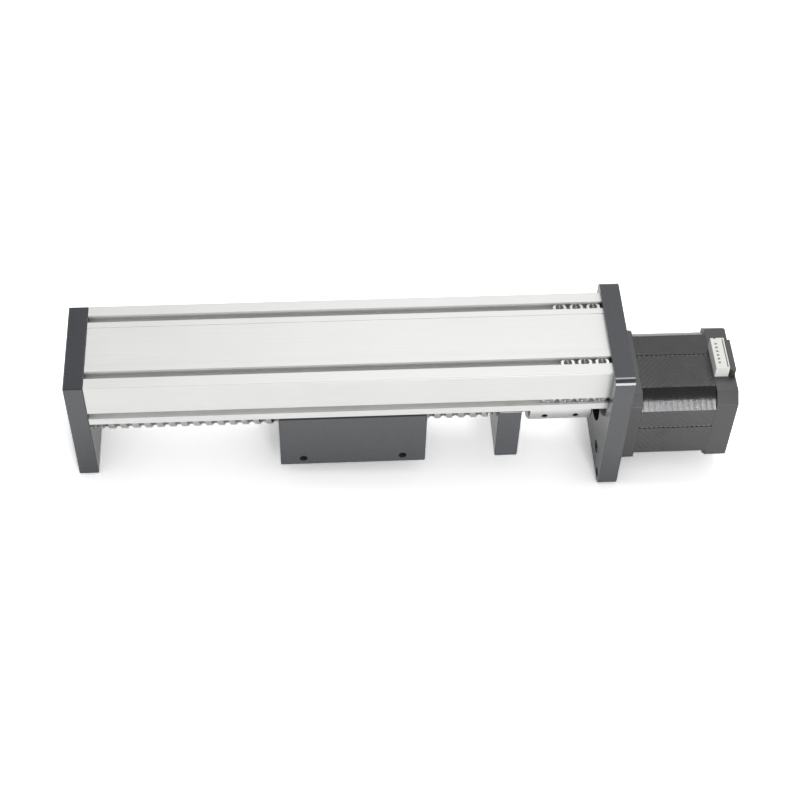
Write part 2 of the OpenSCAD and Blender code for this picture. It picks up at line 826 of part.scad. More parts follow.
function bearing_pitch_r(od) = (od / 2 - (od / 2 - inner_ring_r) * 0.34 + inner_ring_r) / 2;
function bearing_ball(od) = (od / 2 - inner_ring_r) * 0.46;

idler_brg_xm = idler_t - idler_brg_w / 2;
fixed_brg_xm = (fixed_brg_x0 + fixed_brg_x1) / 2;

module idler_bearing_outer() {
    color([0.7, 0.71, 0.73])
        translate([idler_brg_xm, 0, 0])
            bearing_outer(idler_brg_od, idler_brg_w);
}

module idler_bearing_inner() {
    color([0.8, 0.8, 0.82])
        translate([idler_brg_xm, 0, 0])
            bearing_inner(idler_brg_od, idler_brg_w);
}

module idler_bearing_balls() {
    color([0.85, 0.85, 0.87])
        translate([idler_brg_xm, 0, 0])
            bearing_balls(idler_brg_od);
}

module fixed_bearing_outer() {
    color([0.7, 0.71, 0.73])
        translate([fixed_brg_xm, 0, 0])
            bearing_outer(fixed_brg_od, fixed_brg_w);
}

module fixed_bearing_inner() {
    color([0.8, 0.8, 0.82])
        translate([fixed_brg_xm, 0, 0])
            bearing_inner(fixed_brg_od, fixed_brg_w);
}

module fixed_bearing_balls() {
    color([0.85, 0.85, 0.87])
        translate([fixed_brg_xm, 0, 0])
            bearing_balls(fixed_brg_od);
}

// Outline of the cover: a disc cut flat above and below, grown by a gap
module cover_outline(gap) {
    intersection() {
        circle(r = cover_d / 2 + gap);
        square([cover_d + 2, 2 * (block_foot - 0.8 + gap)], center = true);
    }
}

module bearing_cover() {
    color([0.2, 0.2, 0.22])
        difference() {
            along_x(fixed_brg_x1, block_x1)
                cover_outline(0);
            rod(inner_ring_r + 1.2, fixed_brg_x1 - 1, block_x1 + 1);
            for (a = [45 : 90 : 315])
                rotate([a, 0, 0])
                    translate([0, cover_screw_r, 0]) {
                        rod(cover_screw_d / 2 + 0.2, fixed_brg_x1 - 1, block_x1 + 1);
                        rod(cover_screw_d + 0.1, block_x1 - cover_recess, block_x1 + 1);
                    }
        }
}

module cover_screws() {
    color([0.35, 0.35, 0.37])
        for (a = [45 : 90 : 315])
            rotate([a, 0, 0])
                translate([block_x1 - cover_recess, cover_screw_r, 0])
                    rotate([0, 90, 0])
                        cap_screw(
                            cover_screw_d, cover_t - cover_recess + cover_bite,
                            2 * cover_screw_d, cover_recess - 0.05
                        );
}

module spacer_ring() {
    color([0.7, 0.71, 0.73])
        ring(inner_ring_r, journal_r + seat_gap, fixed_brg_x1, lock_nut_x0);
}

module lock_nut() {
    color([0.3, 0.3, 0.32])
        difference() {
            translate([lock_nut_x0, 0, 0])
                rotate([0, 90, 0])
                    intersection() {
                        cylinder(r = lock_nut_af / 2 / cos(30), h = lock_nut_t, $fn = 6);
                        cylinder(r1 = lock_nut_af * 0.54, r2 = lock_nut_af * 0.54 + lock_nut_t, h = lock_nut_t);
                        cylinder(r1 = lock_nut_af * 0.54 + lock_nut_t, r2 = lock_nut_af * 0.54, h = lock_nut_t);
                    }
            rod(journal_r + seat_gap, lock_nut_x0 - 1, lock_nut_x0 + lock_nut_t + 1);
        }
}

// Angles of the two clamp screws at each end of the coupling
clamp_angles = [coupling_screw_angle, coupling_screw_angle + 90];
clamp_places = [coupling_x0 + coupling_screw_inset, coupling_x1 - coupling_screw_inset];

module coupling() {
    color([0.85, 0.85, 0.86])
        difference() {
            translate([coupling_x0, 0, 0])
                rotate([0, 90, 0])
                    rotate_extrude()
                        polygon([
                            [0, 0], [coupling_d / 2 - 0.8, 0], [coupling_d / 2, 0.8],
                            [coupling_d / 2, coupling_len - 0.8], [coupling_d / 2 - 0.8, coupling_len],
                            [0, coupling_len]
                        ]);
            rod(journal_r + seat_gap, coupling_x0 - 1, coupling_xm);
            rod(shaft_d / 2 + seat_gap, coupling_xm - 1, coupling_x1 + 1);
            for (x = clamp_places, a = clamp_angles)
                rotate([a, 0, 0])
                    translate([x, 0, 0])
                        rotate([-90, 0, 0])
                            cylinder(d = coupling_screw_d + 2 * seat_gap, h = coupling_d);
        }
}

module coupling_screws() {
    color([0.25, 0.25, 0.27])
        for (i = [0, 1], a = clamp_angles)
            let (bar = (i == 0 ? journal_r : shaft_d / 2) + seat_gap)
                rotate([a, 0, 0])
                    translate([clamp_places[i], coupling_d / 2 - 0.4, 0])
                        rotate([-90, 0, 0])
                            grub_screw(coupling_screw_d, coupling_d / 2 - 0.4 - bar);
}

// Tube that sweeps the ball track of one circuit, closed at both ends
module ball_track(x_mid, span) {
    steps = ceil(span / 360 * turn_steps);
    rings = [
        for (t = [0 : steps], k = [0 : track_sides - 1])
            let (
                a = -span / 2 + span * t / steps,
                b = 360 * (k + 0.5) / track_sides,
                r = ball_r + track_r * cos(b)
            )
                [x_mid + lead * a / 360 + track_r * sin(b), r * cos(a), r * sin(a)]
    ];
    n = track_sides;
    faces = concat(
        [[for (k = [n - 1 : -1 : 0]) k]],
        [for (t = [0 : steps - 1], k = [0 : n - 1])
            [t * n + k, (t + 1) * n + (k + 1) % n, (t + 1) * n + k]],
        [for (t = [0 : steps - 1], k = [0 : n - 1])
            [t * n + k, t * n + (k + 1) % n, (t + 1) * n + (k + 1) % n]],
        [[for (k = [0 : n - 1]) steps * n + k]]
    );
    polyhedron(points = rings, faces = faces, convexity = 6);
}

// Axial place of the ball groove at angle zero nearest to a wanted place
function groove_x(x) =
    let (g = thread_x0 + thread_shift + land + groove_half)
        g + lead * round((x - g) / lead);

circuit_xs = [for (i = [0 : circuits - 1]) groove_x(circuit_x0 + i * circuit_step * lead)];

module ball_nut() {
    color([0.68, 0.69, 0.71])
        difference() {
            ring(ball_nut_d / 2, nut_bore_r, nut_x0, nut_x1);
            for (x = [nut_x0 - 1, nut_x1 - wiper_t])
                rod(crest_r + 2 + seat_gap, x, x + wiper_t + 1);
            for (x = circuit_xs) {
                ball_track(x, circuit_angle + 20);
                translate([x, -ball_nut_d, 0])
                    rotate([-90, 0, 0])
                        cylinder(r = deflector_r + seat_gap, h = ball_nut_d);
            }
            translate([carriage_xm, 0, -ball_nut_d])
                cylinder(d = tapped_d + 2 * seat_gap, h = ball_nut_d - lock_floor);
        }
}

module nut_balls() {
    color([0.88, 0.88, 0.9])
        for (x = circuit_xs, i = [0 : balls_in_turn - 1])
            let (a = circuit_angle * (i / (balls_in_turn - 1) - 0.5))
                rotate([a, 0, 0])
                    translate([x + lead * a / 360, ball_r, 0])
                        sphere(d = ball_d, $fn = 16);
}

// Plugs that lift the balls over the screw's land, back to the start of their turn
module ball_deflectors() {
    slant = atan2(lead * circuit_angle / 720, ball_r * sin(circuit_angle / 2));
    color([0.3, 0.3, 0.32])
        difference() {
            intersection() {
                for (x = circuit_xs)
                    translate([x, -ball_nut_d / 2, 0])
                        rotate([-90, 0, 0])
                            cylinder(r = deflector_r, h = ball_nut_d / 2 - deflector_inner * 0.8);
                ring(ball_nut_d / 2, deflector_inner, nut_x0, nut_x1);
            }
            for (x = circuit_xs)
                translate([x, -crest_r - ball_d / 2 - 0.1, 0])
                    rotate([0, slant, 0])
                        cylinder(r = ball_d / 2 + 0.1, h = 4 * deflector_r, center = true);
        }
}

module nut_wipers() {
    color([0.92, 0.92, 0.9])
        for (x = [nut_x0, nut_x1 - wiper_t])
            ring(crest_r + 2, crest_r + run_gap, x, x + wiper_t);
}

// Internal retaining ring, open at the bottom, with two eyes for the pliers
module nut_ring() {
    ring_in = nut_seat_r - 1.6;
    gap = 20;
    color([0.4, 0.4, 0.42])
        difference() {
            union() {
                ring(nut_seat_r + 0.6, ring_in, ring_x0, ring_x0 + ring_t);
                for (s = [-1, 1])
                    rotate([s * (gap + 8), 0, 0])
                        translate([0, 0, 0.5 - ring_in])
                            rod(1.5, ring_x0, ring_x0 + ring_t);
            }
            along_x(ring_x0 - 1, ring_x0 + ring_t + 1)
                polygon([
                    [0, 0],
                    [-ball_nut_d * tan(gap), -ball_nut_d],
                    [ball_nut_d * tan(gap), -ball_nut_d]
                ]);
            for (s = [-1, 1])
                rotate([s * (gap + 8), 0, 0])
                    translate([0, 0, 0.5 - ring_in])
                        rod(0.7, ring_x0 - 1, ring_x0 + ring_t + 1);
        }
}

module nut_lock_screw() {
    color([0.3, 0.3, 0.32])
        translate([carriage_xm, 0, 0.3 - carriage_foot])
            rotate([180, 0, 0])
                grub_screw(tapped_d, carriage_foot - 0.3 - lock_floor);
}

// Square of the motor's body with its corners cut
module motor_section(corner) {
    cut_rect(motor_w, motor_w, corner);
}

module motor_flange() {
    color([0.13, 0.13, 0.14])
        difference() {
            union() {
                along_x(motor_x, stator_x0)
                    motor_section(motor_corner);
                rod(pilot_d / 2, motor_x - pilot_h, motor_x + 1);
            }
            rod(shaft_d / 2 + 1.5, motor_x - pilot_h - 1, stator_x0 + 1);
            rod(motor_brg_d / 2 + seat_gap, front_brg_x0, stator_x0 + 1);
            ring(yoke_r, motor_brg_d / 2 + 1.5, stator_x0 - coil_over - 0.3, stator_x0 + 1);
            for (p = motor_corners)
                translate([0, p[0], p[1]])
                    rod(motor_screw_d / 2 + seat_gap, motor_x - 1, stator_x0 + 1);
        }
}

// One lamination: square outside, eight poles with shoes inside
module lamination() {
    difference() {
        motor_section(stack_corner);
        difference() {
            circle(r = yoke_r, $fn = 96);
            for (a = [0 : 45 : 315])
                rotate([0, 0, a])
                    translate([0, -pole_w / 2])
                        square([yoke_r + 1, pole_w]);
            intersection() {
                circle(r = stator_bore_r + shoe_t, $fn = 96);
                for (a = [0 : 45 : 315])
                    rotate([0, 0, a])
                        polygon([[0, 0], [motor_r, -motor_r * tan(18)], [motor_r, motor_r * tan(18)]]);
            }
        }
        circle(r = stator_bore_r, $fn = 96);
        for (p = motor_corners)
            translate(p)
                circle(r = stack_hole_r, $fn = 24);
    }
}

module motor_stator() {
    color([0.16, 0.16, 0.17])
        along_x(stator_x0, stator_x1)
            lamination();
}

// Eight coils, each a closed loop around its pole
module motor_windings() {
    coil_in = stator_bore_r + shoe_t + 0.15;
    color([0.7, 0.4, 0.2])
        for (a = [0 : 45 : 315])
            rotate([a, 0, 0])
                difference() {
                    translate([stator_x0 - coil_over, coil_in, -pole_w / 2 - coil_t * 0.45])
                        cube([stator_len + 2 * coil_over, coil_out_r - coil_in, pole_w + coil_t * 0.9]);
                    translate([stator_x0 - 0.1, coil_in - 1, -pole_w / 2 - 0.05])
                        cube([stator_len + 0.2, coil_out_r, pole_w + 0.1]);
                }
}

// Rear cap: bearing boss inside, a notch and a hood for the connector on top
module motor_rear_cap() {
    hood_x1 = motor_x1 - 0.3;
    color([0.13, 0.13, 0.14])
        difference() {
            union() {
                along_x(stator_x1, motor_x1)
                    motor_section(motor_corner);
                translate([hood_x1 - hood_t, connector_shift - connector_w / 2, motor_r - 2])
                    cube([hood_t, connector_w, connector_h + 2 - hood_drop]);
            }
            ring(yoke_r, motor_brg_d / 2 + 1.5, stator_x1 - 1, stator_x1 + coil_over + 0.3);
            rod(motor_brg_d / 2 + seat_gap, stator_x1 - 1, rear_brg_x0 + motor_brg_w);
            rod(shaft_d / 2 + 1, stator_x1, rear_brg_x0 + motor_brg_w + 0.7);
            translate([stator_x1 - 1, connector_shift - connector_w / 2 - seat_gap, connector_z0])
                cube([connector_x1 + 0.1 - stator_x1 + 1, connector_w + 2 * seat_gap, 2 * connector_h]);
            for (p = motor_corners)
                translate([0, p[0], p[1]]) {
                    rod((motor_screw_d + hole_clear) / 2, stator_x1 - 1, motor_x1 + 1);
                    rod(head_hole_r, motor_x1 - head_recess, motor_x1 + 1);
                }
        }
}

module motor_shaft() {
    color([0.8, 0.8, 0.82])
        rod(shaft_d / 2, coupling_xm + shaft_gap / 2, rear_brg_x0 + motor_brg_w + 0.3);
}

// Rotor: two toothed cups with a disc magnet between them
module motor_rotor() {
    teeth = 50;
    tooth_h = 0.7;
    outer = rotor_d / 2;
    cup = [
        for (i = [0 : teeth - 1])
            for (k = [[-0.25, outer], [0.25, outer], [0.25, outer - tooth_h], [0.75, outer - tooth_h]])
                let (a = 360 * (i + k[0]) / teeth)
                    [k[1] * cos(a), k[1] * sin(a)]
    ];
    mid = (rotor_x0 + rotor_x1) / 2;
    color([0.55, 0.56, 0.58])
        difference() {
            union() {
                along_x(rotor_x0, mid - magnet_t / 2)
                    polygon(cup);
                along_x(mid + magnet_t / 2, rotor_x1)
                    rotate([0, 0, 180 / teeth])
                        polygon(cup);
                rod(outer - 1, mid - magnet_t / 2 - eps, mid + magnet_t / 2 + eps);
            }
            rod(shaft_d / 2 + seat_gap, rotor_x0 - 1, rotor_x1 + 1);
        }
}

module motor_bearings() {
    color([0.7, 0.71, 0.73])
        for (x = [front_brg_x0, rear_brg_x0])
            ring(motor_brg_d / 2, shaft_d / 2 + 0.05, x, x + motor_brg_w);
}

module motor_long_screws() {
    color([0.3, 0.3, 0.32])
        for (p = motor_corners)
            translate([motor_x1 - head_recess, p[0], p[1]])
                rotate([0, 90, 0])
                    cap_screw(
                        motor_screw_d, motor_x1 - head_recess - motor_x - flange_len / 2,
                        head_d, head_h
                    );
}

module motor_mount_screws() {
    color([0.3, 0.3, 0.32])
        for (p = motor_corners)
            translate([profile_x1 + head_recess, p[0], p[1]])
                rotate([0, -90, 0])
                    cap_screw(
                        motor_screw_d, motor_plate_t - head_recess + flange_len / 2 - 0.5,
                        head_d, head_h
                    );
}

// Square bars on the places of the connector's contacts
module contact_bars(w, z0, z1) {
    for (i = [0 : connector_pins - 1])
        translate([contact_x, connector_shift + (i - (connector_pins - 1) / 2) * contact_pitch, (z0 + z1) / 2])
            cube([w, w, z1 - z0], center = true);
}

// Housing of the connector: a pocket round each contact and a latch groove along the rear wall
module connector_housing() {
    y0 = connector_shift - connector_w / 2;
    groove_x0 = connector_x1 - connector_wall - connector_groove;
    groove_z = motor_r + connector_h * 0.4;
    color([0.93, 0.93, 0.9])
        difference() {
            translate([connector_x0, y0, connector_z0 + 0.1])
                cube([connector_len, connector_w, connector_z1 - connector_z0 - 0.1]);
            contact_bars(contact_pocket, groove_z, connector_z1 + 1);
            contact_bars(contact_w + 2 * seat_gap, connector_z0, connector_z1);
            translate([groove_x0, y0 + connector_wall, groove_z])
                cube([connector_groove, connector_w - 2 * connector_wall, connector_h]);
            translate([contact_x - 0.4, y0 + connector_w - connector_wall, connector_z1 - 1])
                cube([0.8, connector_wall + 1, 2]);
        }
}

module connector_contacts() {
    color([0.85, 0.75, 0.4])
        contact_bars(contact_w, connector_z0 + 0.2, connector_z1 - 1);
}

// Hexagonal nut lying flat, its flats towards the slot's walls, corners along the slot
module slot_nut() {
    corner = slot_nut_af / 2 / cos(30);
    difference() {
        intersection() {
            cylinder(r = corner, h = slot_nut_t, center = true, $fn = 6);
            translate([0, 0, -slot_nut_t / 2])
                cylinder(r1 = slot_nut_af * 0.49, r2 = slot_nut_af * 0.49 + slot_nut_t * 1.8, h = slot_nut_t);
            translate([0, 0, -slot_nut_t / 2])
                cylinder(r1 = slot_nut_af * 0.49 + slot_nut_t * 1.8, r2 = slot_nut_af * 0.49, h = slot_nut_t);
        }
        cylinder(d = slot_nut_bore, h = slot_nut_t + 2, center = true);
    }
}

// Row of nuts at the motor end of a slot
module nut_row(count) {
    for (i = [0 : count - 1])
        translate([profile_x1 - slot_nut_pitch * (i + 0.5), 0, 0])
            slot_nut();
}

nut_lie = slot_lip + slot_depth - slot_nut_t / 2 - 0.1;

module web_nuts_front() {
    color([0.8, 0.8, 0.8])
        translate([0, -web_slot_y, top_z - nut_lie])
            nut_row(web_nuts);
}

module web_nuts_rear() {
    color([0.8, 0.8, 0.8])
        translate([0, web_slot_y, top_z - nut_lie])
            nut_row(web_nuts);
}

module side_nuts_front() {
    color([0.8, 0.8, 0.8])
        translate([0, -half_w + nut_lie, side_slot_z])
            rotate([90, 0, 0])
                nut_row(side_nuts);
}

module side_nuts_rear() {
    color([0.8, 0.8, 0.8])
        translate([0, half_w - nut_lie, side_slot_z])
            rotate([90, 0, 0])
                nut_row(side_nuts);
}

profile();
idler_plate();
motor_plate();
bearing_block();
idler_plate_screws();
motor_plate_screws();
block_screws();
guide_rail();
rail_screws();
guide_block();
guide_end_caps();
guide_balls();
guide_block_screws();
carriage();
ball_nut();
nut_balls();
ball_deflectors();
nut_wipers();
nut_ring();
nut_lock_screw();
ball_screw();
idler_bearing_outer();
idler_bearing_inner();
idler_bearing_balls();
fixed_bearing_outer();
fixed_bearing_inner();
fixed_bearing_balls();
bearing_cover();
cover_screws();
spacer_ring();
lock_nut();
coupling();
coupling_screws();
motor_flange();
motor_stator();
motor_windings();
motor_rear_cap();
motor_shaft();
motor_rotor();
motor_bearings();
motor_long_screws();
motor_mount_screws();
connector_housing();
connector_contacts();
web_nuts_front();
web_nuts_rear();
side_nuts_front();
side_nuts_rear();
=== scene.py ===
"""Looks of a compact ball-screw linear axis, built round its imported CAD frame.

Every length is in metres. X runs along the screw from the idler plate to the
motor, Y across the channel and Z from the screw towards the channel. The
origin is on the screw axis, at the idler plate's outer face.
"""

import logging
import math
from dataclasses import dataclass
from enum import Enum
from typing import Callable, Iterable

import bmesh
import bpy
from mathutils import Matrix, Vector


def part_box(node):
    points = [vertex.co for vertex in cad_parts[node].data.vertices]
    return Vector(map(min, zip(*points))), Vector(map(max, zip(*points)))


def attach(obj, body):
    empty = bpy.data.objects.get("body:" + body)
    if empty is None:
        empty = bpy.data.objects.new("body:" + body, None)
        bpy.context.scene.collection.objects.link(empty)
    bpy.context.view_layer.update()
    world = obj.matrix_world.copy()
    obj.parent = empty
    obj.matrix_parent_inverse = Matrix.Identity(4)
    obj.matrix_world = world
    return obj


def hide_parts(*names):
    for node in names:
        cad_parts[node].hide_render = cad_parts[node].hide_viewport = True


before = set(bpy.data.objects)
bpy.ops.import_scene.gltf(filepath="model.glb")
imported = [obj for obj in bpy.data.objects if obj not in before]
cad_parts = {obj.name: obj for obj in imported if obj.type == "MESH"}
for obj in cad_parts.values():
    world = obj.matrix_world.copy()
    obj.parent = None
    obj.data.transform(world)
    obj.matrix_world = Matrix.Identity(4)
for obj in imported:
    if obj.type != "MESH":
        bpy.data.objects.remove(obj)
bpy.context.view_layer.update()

MM = 0.001
LOG = logging.getLogger("linear_axis")
Point = tuple[float, float, float]
Colour = tuple[float, float, float]
Span = tuple[float, float]
Value = bpy.types.NodeSocket | float

# Distance at which two corners count as one
WELD_REACH = 0.001 * MM
# Range in which a noise node's value mostly stays
NOISE_SPAN = (0.3, 0.7)


class Body(str, Enum):
    """Moving groups of the axis, as the frame names them."""

    FRAME = "frame"
    SCREW = "screw"
    CARRIAGE = "carriage"
    WEB_FRONT = "nuts_web_front"
    WEB_REAR = "nuts_web_rear"
    SIDE_FRONT = "nuts_side_front"
    SIDE_REAR = "nuts_side_rear"


class Lay(Enum):
    """Direction in which a machined surface shows its tool marks."""

    ALONG = (0.02, 1.0, 1.0)
    ROUND = (1.0, 0.0, 0.0)
    EVEN = (1.0, 1.0, 1.0)


# --------------------------------------------------------------------------
# Node graphs and finishes
# --------------------------------------------------------------------------


class Tree:
    """A node tree, with short calls to add and join nodes."""

    def __init__(self, tree: bpy.types.NodeTree) -> None:
        """Takes a tree and clears it.

        Args:
            tree: the tree to fill.
        """
        self.tree = tree
        self.tree.nodes.clear()

    def add(self, kind: str, **values: object) -> bpy.types.Node:
        """Adds a node and sets its own values.

        Args:
            kind: the node's type name.
            **values: attributes of the node.

        Returns:
            The new node.
        """
        node = self.tree.nodes.new(kind)
        for key, value in values.items():
            setattr(node, key, value)
        return node

    def join(self, source: Value, target: bpy.types.NodeSocket) -> None:
        """Links a socket to another, or writes a number to it."""
        if isinstance(source, float):
            target.default_value = source
        else:
            self.tree.links.new(source, target)

    def maths(self, operation: str, first: Value, second: Value = 0.0) -> bpy.types.NodeSocket:
        """Result of a sum on one or two values.

        Args:
            operation: the Math node's operation.
            first: first value.
            second: second value, where the operation has one.

        Returns:
            The socket that carries the result.
        """
        node = self.add("ShaderNodeMath", operation=operation)
        self.join(first, node.inputs[0])
        self.join(second, node.inputs[1])
        return node.outputs[0]

    def remap(self, value: Value, source: Span, result: Span) -> bpy.types.NodeSocket:
        """Maps a value from one span to another, and holds it there.

        Args:
            value: the value to map.
            source: start and end of its own span.
            result: what they become.

        Returns:
            The socket that carries the result.
        """
        node = self.add("ShaderNodeMapRange")
        node.inputs["From Min"].default_value, node.inputs["From Max"].default_value = source
        node.inputs["To Min"].default_value, node.inputs["To Max"].default_value = result
        self.join(value, node.inputs["Value"])
        return node.outputs["Result"]

    def mixed(self, factor: Value, first: Value, second: Value) -> bpy.types.NodeSocket:
        """Value between two by a factor.

        Args:
            factor: a value from 0 to 1.
            first: value at 0.
            second: value at 1.

        Returns:
            The socket that carries the result.
        """
        node = self.add("ShaderNodeMix")
        self.join(factor, node.inputs["Factor"])
        self.join(first, node.inputs["A"])
        self.join(second, node.inputs["B"])
        return node.outputs["Result"]


class Graph(Tree):
    """A material's node tree, round an output and a principled shader."""

    def __init__(self, name: str) -> None:
        """Starts an empty material.

        Args:
            name: the material's name.
        """
        self.material = bpy.data.materials.new(name)
        self.material.use_nodes = True
        super().__init__(self.material.node_tree)
        self.output = self.add("ShaderNodeOutputMaterial")
        self.shader = self.add("ShaderNodeBsdfPrincipled")
        self.join(self.shader.outputs["BSDF"], self.output.inputs["Surface"])

    def place(self, scale: Point = (1.0, 1.0, 1.0)) -> bpy.types.NodeSocket:
        """Object coordinates stretched by a scale.

        Args:
            scale: factors along X, Y and Z.

        Returns:
            The socket that carries the vector.
        """
        where = self.add("ShaderNodeTexCoord")
        stretch = self.add("ShaderNodeMapping")
        stretch.inputs["Scale"].default_value = scale
        self.join(where.outputs["Object"], stretch.inputs["Vector"])
        return stretch.outputs["Vector"]

    def noise(
        self, vector: bpy.types.NodeSocket, scale: float, detail: float = 3.0, rough: float = 0.55
    ) -> bpy.types.NodeSocket:
        """Smooth noise from 0 to 1 over a vector.

        Args:
            vector: the coordinates to read.
            scale: features per metre.
            detail: octaves of finer noise.
            rough: strength of the finer octaves.

        Returns:
            The socket that carries the value.
        """
        node = self.add("ShaderNodeTexNoise")
        node.inputs["Scale"].default_value = scale
        node.inputs["Detail"].default_value = detail
        node.inputs["Roughness"].default_value = rough
        self.join(vector, node.inputs["Vector"])
        return node.outputs["Fac"]

    def spread(self, value: bpy.types.NodeSocket, result: Span) -> bpy.types.NodeSocket:
        """Maps the part of a noise that it mostly stays in to a span.

        Args:
            value: the noise.
            result: the span to fill.

        Returns:
            The socket that carries the result.
        """
        return self.remap(value, NOISE_SPAN, result)

    def blend(
        self, factor: bpy.types.NodeSocket, first: Colour, second: Colour
    ) -> bpy.types.NodeSocket:
        """Colour between two by a factor.

        Args:
            factor: a socket from 0 to 1.
            first: colour at 0.
            second: colour at 1.

        Returns:
            The socket that carries the colour.
        """
        node = self.add("ShaderNodeMix", data_type="RGBA")
        node.inputs["A"].default_value = (*first, 1.0)
        node.inputs["B"].default_value = (*second, 1.0)
        self.join(factor, node.inputs["Factor"])
        return node.outputs["Result"]

    def bump(
        self,
        height: bpy.types.NodeSocket,
        depth: float,
        strength: float = 1.0,
        under: bpy.types.NodeSocket | None = None,
    ) -> bpy.types.NodeSocket:
        """Normal of a height field.

        Args:
            height: a socket from 0 to 1.
            depth: height of 1 in metres.
            strength: how much of it shows.
            under: normal that this one is laid over.

        Returns:
            The socket that carries the normal.
        """
        node = self.add("ShaderNodeBump")
        node.inputs["Strength"].default_value = strength
        node.inputs["Distance"].default_value = depth
        self.join(height, node.inputs["Height"])
        if under is not None:
            self.join(under, node.inputs["Normal"])
        return node.outputs["Normal"]


@dataclass(frozen=True)
class Finish:
    """A surface whose colour, gloss and relief vary a little from place to place."""

    name: str
    colour: Colour
    shade: Colour
    metallic: float
    gloss: Span
    lay: Lay = Lay.EVEN
    line_scale: float = 4000.0
    line_depth: float = 0.004 * MM
    cloud_scale: float = 60.0
    grain_scale: float = 2500.0
    grain_depth: float = 0.002 * MM
    specular: float = 0.5

    def material(self) -> bpy.types.Material:
        """Builds the node material once and returns it."""
        known = bpy.data.materials.get(self.name)
        if known is not None:
            return known
        graph = Graph(self.name)
        clouds = graph.noise(graph.place(), self.cloud_scale)
        lines = graph.noise(graph.place(self.lay.value), self.line_scale, detail=2.0)
        both = graph.maths("MULTIPLY", graph.maths("ADD", clouds, lines), 0.5)
        tint = graph.blend(graph.spread(both, (0.0, 1.0)), self.shade, self.colour)
        graph.join(tint, graph.shader.inputs["Base Color"])
        graph.join(graph.spread(both, self.gloss), graph.shader.inputs["Roughness"])
        grain = graph.noise(graph.place(), self.grain_scale, detail=1.0)
        normal = graph.bump(grain, self.grain_depth)
        normal = graph.bump(lines, self.line_depth, under=normal)
        graph.join(normal, graph.shader.inputs["Normal"])
        graph.shader.inputs["Metallic"].default_value = self.metallic
        graph.shader.inputs["Specular IOR Level"].default_value = self.specular
        self.refine(graph)
        return graph.material

    def refine(self, graph: Graph) -> None:
        """Adds what a particular finish has beyond this; plain finishes add nothing."""


@dataclass(frozen=True)
class Laminated(Finish):
    """Varnished sheets stacked along X: fine joints between them under a slight ripple."""

    sheet: float = 0.5 * MM
    sheet_depth: float = 0.02 * MM
    sheet_strength: float = 0.6
    ripple: float = 2.4 * MM
    ripple_depth: float = 0.024 * MM

    def bands(
        self, graph: Graph, lie: Point, direction: str, scale: float, wander: float, detail: float
    ) -> bpy.types.NodeSocket:
        """Even bands that wander a little.

        Args:
            graph: the material to add them to.
            lie: factors on X, Y and Z, where a negative one mirrors the bands.
            direction: X for bands across X, DIAGONAL for bands that lean.
            scale: the wave's scale.
            wander: how far the bands leave their line.
            detail: scale of the wandering.

        Returns:
            The socket that carries the bands.
        """
        wave = graph.add("ShaderNodeTexWave", wave_type="BANDS", bands_direction=direction)
        wave.inputs["Scale"].default_value = scale
        wave.inputs["Distortion"].default_value = wander
        wave.inputs["Detail Scale"].default_value = detail
        graph.join(graph.place(lie), wave.inputs["Vector"])
        return wave.outputs["Fac"]

    def refine(self, graph: Graph) -> None:
        """Lays the sheets' joints and a slight ripple over the finish.

        Args:
            graph: the material to add them to.
        """
        target = graph.shader.inputs["Normal"]
        sheet_scale = math.pi / (10.0 * self.sheet)
        ripple_scale = math.pi / (5.0 * self.ripple)
        joints = self.bands(graph, (1.0, 1.0, 1.0), "X", sheet_scale, 0.4, 0.5)
        ripples = self.bands(graph, (1.0, -1.0, 1.0), "DIAGONAL", ripple_scale, 1.2, 2.0)
        plain = target.links[0].from_socket
        sheets = graph.bump(joints, self.sheet_depth, self.sheet_strength, plain)
        graph.join(graph.bump(ripples, self.ripple_depth, under=sheets), target)


@dataclass(frozen=True)
class Grooved(Finish):
    """Steel round the X axis whose grooves carry painted shade, darker than its crests."""

    root: float = 7.15 * MM
    crest: float = 7.85 * MM
    # painted shade: share of the base colour left at the grooves' roots
    painted_groove_shade: float = 0.32

    def refine(self, graph: Graph) -> None:
        """Paints shade into the finish, darker from the crests down to the grooves' roots.

        Args:
            graph: the material to add it to.
        """
        target = graph.shader.inputs["Base Color"]
        radius = graph.add("ShaderNodeVectorMath", operation="LENGTH")
        graph.join(graph.place((0.0, 1.0, 1.0)), radius.inputs[0])
        # painted shade: scales the base colour down from the crests towards the grooves' roots
        light = graph.remap(radius.outputs["Value"], (self.root, self.crest), (self.painted_groove_shade, 1.0))
        tint = graph.add("ShaderNodeVectorMath", operation="SCALE")
        graph.join(target.links[0].from_socket, tint.inputs[0])
        graph.join(light, tint.inputs["Scale"])
        graph.join(tint.outputs["Vector"], target)


CLEAR_ANODISED = Finish(
    "clear_anodised", (0.86, 0.86, 0.845), (0.80, 0.80, 0.785), 0.20, (0.38, 0.48),
    lay=Lay.ALONG, line_scale=2200.0, line_depth=0.006 * MM, cloud_scale=35.0,
)
DARK_ANODISED = Finish(
    "dark_anodised", (0.072, 0.078, 0.086), (0.062, 0.067, 0.074), 0.15, (0.06, 0.11),
    lay=Lay.EVEN, line_scale=900.0, line_depth=0.002 * MM, cloud_scale=45.0, specular=1.0,
)
GROUND_STEEL = Finish(
    "ground_steel", (0.66, 0.66, 0.67), (0.54, 0.54, 0.56), 1.0, (0.18, 0.30),
    lay=Lay.ROUND, line_scale=5200.0, line_depth=0.004 * MM,
)
TURNED_ALUMINIUM = Finish(
    "turned_aluminium", (0.96, 0.96, 0.95), (0.90, 0.90, 0.90), 0.15, (0.24, 0.36),
    lay=Lay.ROUND, line_scale=5200.0, line_depth=0.010 * MM,
)
# the darker grooves of this finish are painted shade
ROLLED_STEEL = Grooved(
    "rolled_steel", (0.86, 0.86, 0.86), (0.70, 0.70, 0.71), 1.0, (0.10, 0.18),
    lay=Lay.ROUND, line_scale=3600.0, line_depth=0.003 * MM,
)
